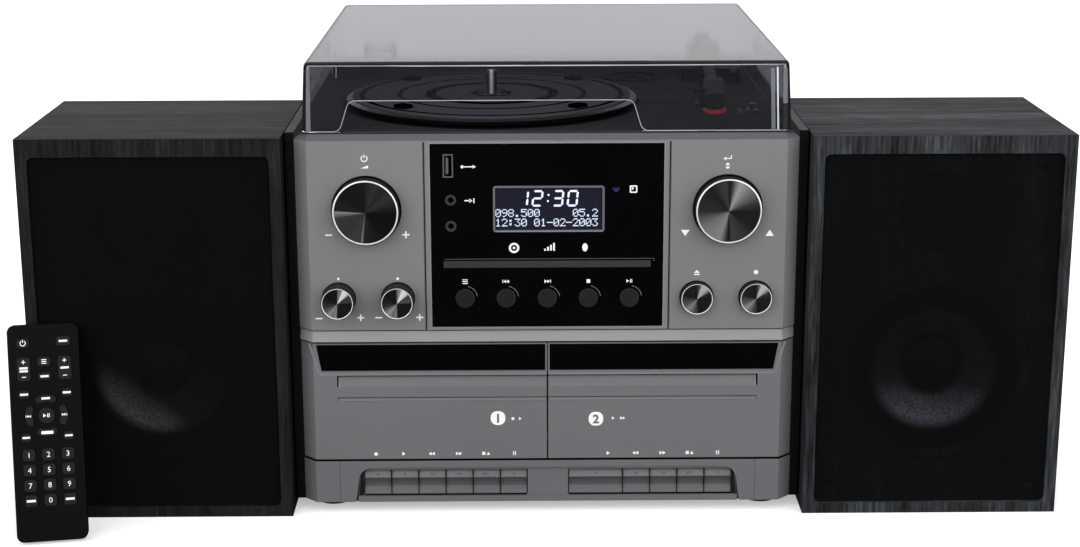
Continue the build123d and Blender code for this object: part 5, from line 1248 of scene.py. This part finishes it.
def coverLoop(inset, z):
    # the outside of the cover at one height
    draw = coverLean(min(z, coverLook["high"] - coverLook["edge"])) + inset
    front, back = coverLook["front"] + draw, coverLook["back"] - draw
    width, radius = 2 * (coverLook["half"] - draw), coverLook["corner"] - draw
    return [spot(x, y, z) for x, y in roundedBox(0, (front + back) / 2, width, back - front, radius, 6)]


def topEdge(bm, outer=0.07, inner=-0.05):
    # a skin over the rounding between the cover's sides and its top
    loops = []
    for proud, angles in ((outer, range(30, 85, 9)), (inner, range(84, 29, -9))):
        for angle in angles:
            across, rise = math.cos(math.radians(angle)), math.sin(math.radians(angle))
            inset = coverLook["edge"] * (1 - across) - proud * across
            loops.append(coverLoop(inset, coverLook["high"] - coverLook["edge"] * (1 - rise) + proud * rise))
    loft(bm, loops, ends=False)


def cornerBand(bm, side, start, end, low, high, proud=0.06, under=0.05, steps=6):
    # a strip over one rounded front corner of the cover, its turn counted from the side
    middle = (coverLook["half"] - coverLook["corner"], coverLook["front"] + coverLook["corner"])
    turns = [math.radians(start + (end - start) * i / steps) for i in range(steps + 1)]
    loops = []
    for z in (coverLook["low"] + 0.5 + low, coverLook["low"] + 0.5 + high):
        radius = coverLook["corner"] - coverLean(z)
        rows = [(radius + proud, t) for t in turns] + [(radius - under, t) for t in reversed(turns)]
        points = [(middle[0] + r * math.cos(t), middle[1] - r * math.sin(t)) for r, t in rows]
        loops.append([spot(side * x, y, z) for x, y in points])
    loft(bm, loops)


def notchLine(bm, low, high, start, end, put, out):
    # the cover's lower edge along one side, up over the notch and down again
    base, top, slope = coverLook["low"] + 0.35, coverLook["notchTop"], coverLook["slope"]
    corners = [(start, base), (low, base), (low + slope, top), (high - slope, top), (high, base), (end, base)]
    path = [put(*point) for point in roundedPath(corners, coverLook["bend"])]
    tube(bm, path, coverLook["line"] * mm, out)


# a painted dark band over the rounding of the top
build("cover_top_edge", paintedDarkBand, "cover", [(topEdge,)], smooth=True)
shineZ = coverLook["high"] - coverLook["edge"] + coverLook["shineRise"]
shineY = coverLook["front"] + coverLean(shineZ) + 0.03
face = planeOf((0, shineY, shineZ), (1, 0, 0), (0, coverLook["lean"], 1))
shine = [(x, -h) for x, h in coverLook["shine"]] + [(x, h) for x, h in reversed(coverLook["shine"])]
# a painted reflection across the top front
build("cover_shine", paintedSoftReflection, "cover", [(plate, shine, face, 0.04, 0.05)])
forward, leftward = Vector((0, -1, 0)), Vector((-1, 0, 0))
notches = [
    (notchLine, *coverLook["frontNotch"], onFront, forward),
    (notchLine, *coverLook["sideNotch"], onSide, leftward),
]
# painted highlights along the lower edge, up and over the notches
build("cover_notch_edges", paintedSoftReflection, "cover", notches, smooth=True)

near, far, low, high = coverLook["panel"]
panel = []
for inset, h in ((far, low), (near, low), (near, high), (far, high)):
    x = coverLook["half"] - inset - coverLook["lineLean"] * h
    panel.append((x, coverLook["front"] + coverLook["lean"] * h, coverLook["low"] + h))
tall = coverLook["tall"]
# painted reflections on the front corners and near the right end
build("cover_corners_pale", paintedGreyReflection, "cover", [
    (cornerBand, -1, 60, 90, 0, tall), (cornerBand, 1, 54, 90, 16, tall), (slab, panel, (0, -0.05, 0)),
], smooth=True)
# painted dark on both front corners
build("cover_corners_dark", paintedDarkBand, "cover", [
    (cornerBand, -1, 0, 58, 0, tall), (cornerBand, 1, 54, 90, 0, 15.6), (cornerBand, 1, 0, 52, 0, tall),
], smooth=True)
inset, thick = coverLook["cornerLine"]
heights = [tall * i / 8 for i in range(9)]
xs = [coverLook["half"] - inset - coverLook["lineLean"] * h for h in heights]
line = [onFront(x, coverLook["low"] + 1 + h) for x, h in zip(xs, heights)]
# a painted bright line up near the right front corner
build("cover_corner_lines", paintedBrightLine, "cover", [(tube, line, thick * mm, forward)], smooth=True)
print("cover edged")


# painted shade on the bevel along the top of the fascia, with a painted shadow line at its top and painted
# shade on the flat behind it

bevelLook = {
    "half": 144.2, "end": 152.2, "cut": 8.0, "rise": 4.0, "low": 236.6, "proud": 0.03, "start": 0.01,
    "split": 0.88, "flat": (148.6, 4.1, 8.1, 240.6),
}
bevelPaintedShade = moulded("bevelPaintedShade", "58585b", 0.5, shine=0.2)
flatPaintedShade = moulded("flatPaintedShade", "3c3c3e", 0.8, shine=0.0)


def bevelRow(part):
    # four corners round the front, some part of the way up the bevel
    inset = bevelLook["rise"] * part
    side = inset * math.tan(math.radians(22.5))
    near, far = (bevelLook["half"] - side, inset), (bevelLook["end"] - inset, bevelLook["cut"] + side)
    corners = ((-1, far), (-1, near), (1, near), (1, far))
    return [Vector((way * x, y, bevelLook["low"] + inset)) for way, (x, y) in corners]


def bevelStrip(bm, low, high):
    under, over = bevelRow(low), bevelRow(high)
    for i in range(3):
        push = (under[i + 1] - under[i]).normalized().cross((over[i] - under[i]).normalized()).normalized()
        slab(bm, [under[i], under[i + 1], over[i + 1], over[i]], push * bevelLook["proud"])


# painted shade over the lower part of the bevel, and a painted shadow line over its top
seamStart = bevelLook["split"]
build("bevel_shade", bevelPaintedShade, unit, [(bevelStrip, bevelLook["start"], seamStart)])
build("bevel_seam", paintedGrooveShade, unit, [(bevelStrip, seamStart, 1.0)])
# painted shade on the flat behind the bevel
x, near, far, z = bevelLook["flat"]
corners = [(-x, near, z), (x, near, z), (x, far, z), (-x, far, z)]
build("bevel_flat", flatPaintedShade, unit, [(slab, corners, (0, 0, bevelLook["proud"]))])
print("fascia bevelled")


# painted shade in the mat's grooves, and the blocks and star on the platter

platterLook = {
    "x": -34.5, "y": 112.0, "top": 246.8, "rings": ((84.0, 3.4), (60.0, 3.0), (40.0, 7.0), (12.0, 3.4)),
    "ringRise": 0.02, "ringDepth": 0.12, "blockReach": 77.0, "block": (10.4, 8.4, 1.4), "blockTop": 1.9,
    "star": ((5.0, -1.5), (13.5, -0.2), (13.5, 0.2), (5.0, 1.5)), "starTurn": 8,
}
ringBlack = moulded("ringBlack", "030303", 0.7, shine=0.0)
x, y, z = platterLook["x"], platterLook["y"], platterLook["top"]
# painted shade: black rings laid in the mat's grooves
rings = []
for radius, width in platterLook["rings"]:
    edges = (radius + width / 2, radius - width / 2)
    rings.append((flatRing, x, y, z + platterLook["ringRise"], *edges, platterLook["ringDepth"]))
build("platter_rings", ringBlack, "turntable", rings)
blocks, rays = [], []
outline = roundedBox(0, 0, *platterLook["block"], 3)
for turn in (0, 90, 180, 270):
    across, along = math.cos(math.radians(turn + 45)), math.sin(math.radians(turn + 45))
    at = (x + platterLook["blockReach"] * across, y + platterLook["blockReach"] * along, z)
    plane = planeOf(at, (-along, across, 0), (-across, -along, 0))
    blocks.append((plate, outline, plane, platterLook["blockTop"], platterLook["blockTop"] + 0.05))
    turn = math.radians(turn + platterLook["starTurn"])
    plane = planeOf((x, y, z), (math.cos(turn), math.sin(turn), 0), (-math.sin(turn), math.cos(turn), 0))
    rays.append((plate, platterLook["star"], plane, 0.3, 0.4))
build("record_blocks", ringBlack, "turntable", blocks)
build("centre_star", ringBlack, "turntable", rays)


# what the deck and the arm carry

deckLook = {
    "z": 240.6, "lines": ((80.0, 166.0, 38.0, 3.4), (79.0, 111.0, 36.0, 3.0)), "figureX": 123.5,
    "figureSize": 3.6, "figures": (("33", 66.5), ("45", 74.0), ("78", 81.5)),
}


def onDeck(x=0, y=0, rise=0.0):
    return planeOf((x, y, deckLook["z"] + rise), (1, 0, 0), (0, 1, 0))


lines = [(plate, rectangle(*line), onDeck(), 0.05, 0.1) for line in deckLook["lines"]]
build("deck_lines", ringBlack, unit, lines)
speeds = []
for text, y in deckLook["figures"]:
    speeds.append((addText, text, deckLook["figureSize"], onDeck(deckLook["figureX"], y, 0.04)))
build("speed_figures", moulded("deckInk", "8d8d8f", 0.5), unit, speeds)

guardLook = {
    "place": (102.6, 27.0, 252.4), "outer": 8.4, "inner": 8.6, "flat": 0.62, "rise": 2.5, "depth": 1.6,
}


def guardArc(radius, rise, angles):
    turns = [math.radians(angle) for angle in angles]
    return [(math.sin(t) * radius, rise - math.cos(t) * radius * guardLook["flat"]) for t in turns]


outline = guardArc(guardLook["outer"], 0.0, range(-62, 63, 6))
outline += guardArc(guardLook["inner"], guardLook["rise"], range(50, -51, -6))
plane = planeOf(guardLook["place"], (1, 0, 0), (0, 0, 1))
guard = (plate, outline, plane, 0.5, guardLook["depth"])
build("stylus_guard", moulded("guardRed", "b81424", 0.35), "arm", [guard])
print("platter, deck and arm dressed")


# legends of the remote control

remoteLook = {
    "origin": (-300.0, -40.86, 0.0), "turn": 10.0, "lean": 14.0, "face": 8.8, "digit": 4.6,
    "columns": (-11.4, 0.0, 11.4), "rows": (25.0, 34.2, 43.4, 52.6),
    "signs": [
        ("power", -11.8, 120.0, 3.6), ("mark", 11.8, 120.3, 5.0), ("plus", -12, 108.6, 2.4),
        ("minus", -12, 99.6, 2.4), ("mark", -12, 105.0, 4.8), ("mark", -12, 103.2, 4.8),
        ("plus", 12, 108.6, 2.4), ("minus", 12, 99.6, 2.4), ("mark", 12, 104.2, 5.0), ("menu", 0, 108.5, 3.0),
        ("mark", 0, 99.6, 4.8), ("mark", -12.5, 89.2, 4.8), ("mark", 12.5, 89.2, 4.8),
        ("mark", -12.5, 63.2, 4.4), ("mark", 12.5, 63.2, 4.4), ("mark", 0, 86.3, 5.0), ("mark", 0, 65.7, 7.0),
        ("back", -10.4, 76, 1.8), ("next", 10.4, 76, 1.8), ("playPause", 0, 76, 2.6),
        ("mark", -11.4, 25.0, 5.2), ("mark", 11.4, 25.0, 5.2),
    ],
}
turn, lean = math.radians(remoteLook["turn"]), math.radians(remoteLook["lean"])
upward = (-math.sin(turn) * math.sin(lean), math.cos(turn) * math.sin(lean), math.cos(lean))
remotePlane = planeOf(remoteLook["origin"], (math.cos(turn), math.sin(turn), 0), upward)
outlines = [outline for one in remoteLook["signs"] for outline in sign(*one)]
legends = [(plate, outline, remotePlane, remoteLook["face"] + 0.05, 0.05) for outline in outlines]
bottom, *rows = remoteLook["rows"]
digits = ["0"] + [str(3 * row + column + 1) for row in (2, 1, 0) for column in range(3)]
places = [(0.0, bottom)] + [(x, y) for y in rows for x in remoteLook["columns"]]
for digit, (x, y) in zip(digits, places):
    lift = Matrix.Translation(Vector((x, y - remoteLook["digit"] * 0.35, remoteLook["face"] + 0.02)) * mm)
    legends.append((addText, digit, remoteLook["digit"], remotePlane @ lift))
build("remote_legends", whiteInk, "remote", legends)
print("remote marked")


# the back: screws, coloured socket rings and the terminals of the speakers

screwLook = {
    "radius": 0.003, "height": 0.0012, "proud": 0.2, "slot": (2.6, 0.6), "slotLift": 0.7, "slotDepth": 0.13,
    "music_centre": (305.0, ((-148, 18), (148, 18), (-148, 228), (148, 228), (-60, 18), (60, 18), (0, 228),
                             (-148, 120), (148, 120)), "body"),
    "speakers": (130.3, (9, 230, 120), "wood"),
}
screwSteel = turnedMetal("screwSteel", "6a6a6c", 0.35, 900)
# painted shade: dark crosses that stand for the screws' slot recesses
paintedSlotShade = moulded("screwRecess", "0a0a0b", 0.7)
y, levels, slot = screwLook["speakers"]
bodies = {"music_centre": screwLook["music_centre"]}
for body, columns in (("left_speaker", (-308, -168)), ("right_speaker", (308, 168))):
    bodies[body] = (y, [(x, z) for z in levels for x in columns], slot)
screws = makeScrews()
for body, (y, places, slot) in bodies.items():
    heads = {"Head Radius": screwLook["radius"], "Head Height": screwLook["height"], "Material": screwSteel}
    grow(body + "_screws", screws, heads, body, [spot(x, y + screwLook["proud"], z) for x, z in places])
    long, wide = screwLook["slot"]
    crosses = [rectangle(x, z, *size) for x, z in places for size in ((long, wide), (wide, long))]
    slots = [(prism, cross, y + screwLook["slotLift"], screwLook["slotDepth"]) for cross in crosses]
    build(body + "_screw_slots", paintedSlotShade, body, slots)

rearLook = {
    "phonoX": (88.0, -40.0), "z": 60.0, "pitch": 14.0, "ring": (6.4, 5.2), "y": 304.95, "depth": 0.6,
    "colours": (("white", -1, "b9b7b0"), ("red", 1, "7c1a1e")), "terminalX": 238.0,
    "terminal": (12.0, 5.0, 130.25, 0.7, 40),
}
for colour, column, code in rearLook["colours"]:
    places = [(x + column * rearLook["pitch"] / 2, rearLook["z"] + row * rearLook["pitch"] / 2)
              for x in rearLook["phonoX"] for row in (-1, 1)]
    collars = [(discRing, x, z, *rearLook["ring"], rearLook["y"], rearLook["depth"], 32) for x, z in places]
    finish = moulded("ring" + colour.title(), code, 0.4)
    build("phono_rings_" + colour, finish, unit, collars)
for body, side in (("left_speaker", -1), ("right_speaker", 1)):
    terminal = (discRing, side * rearLook["terminalX"], rearLook["z"], *rearLook["terminal"])
    build(body + "_terminal_plate", finishes["socket"], body, [terminal])
print("back dressed")
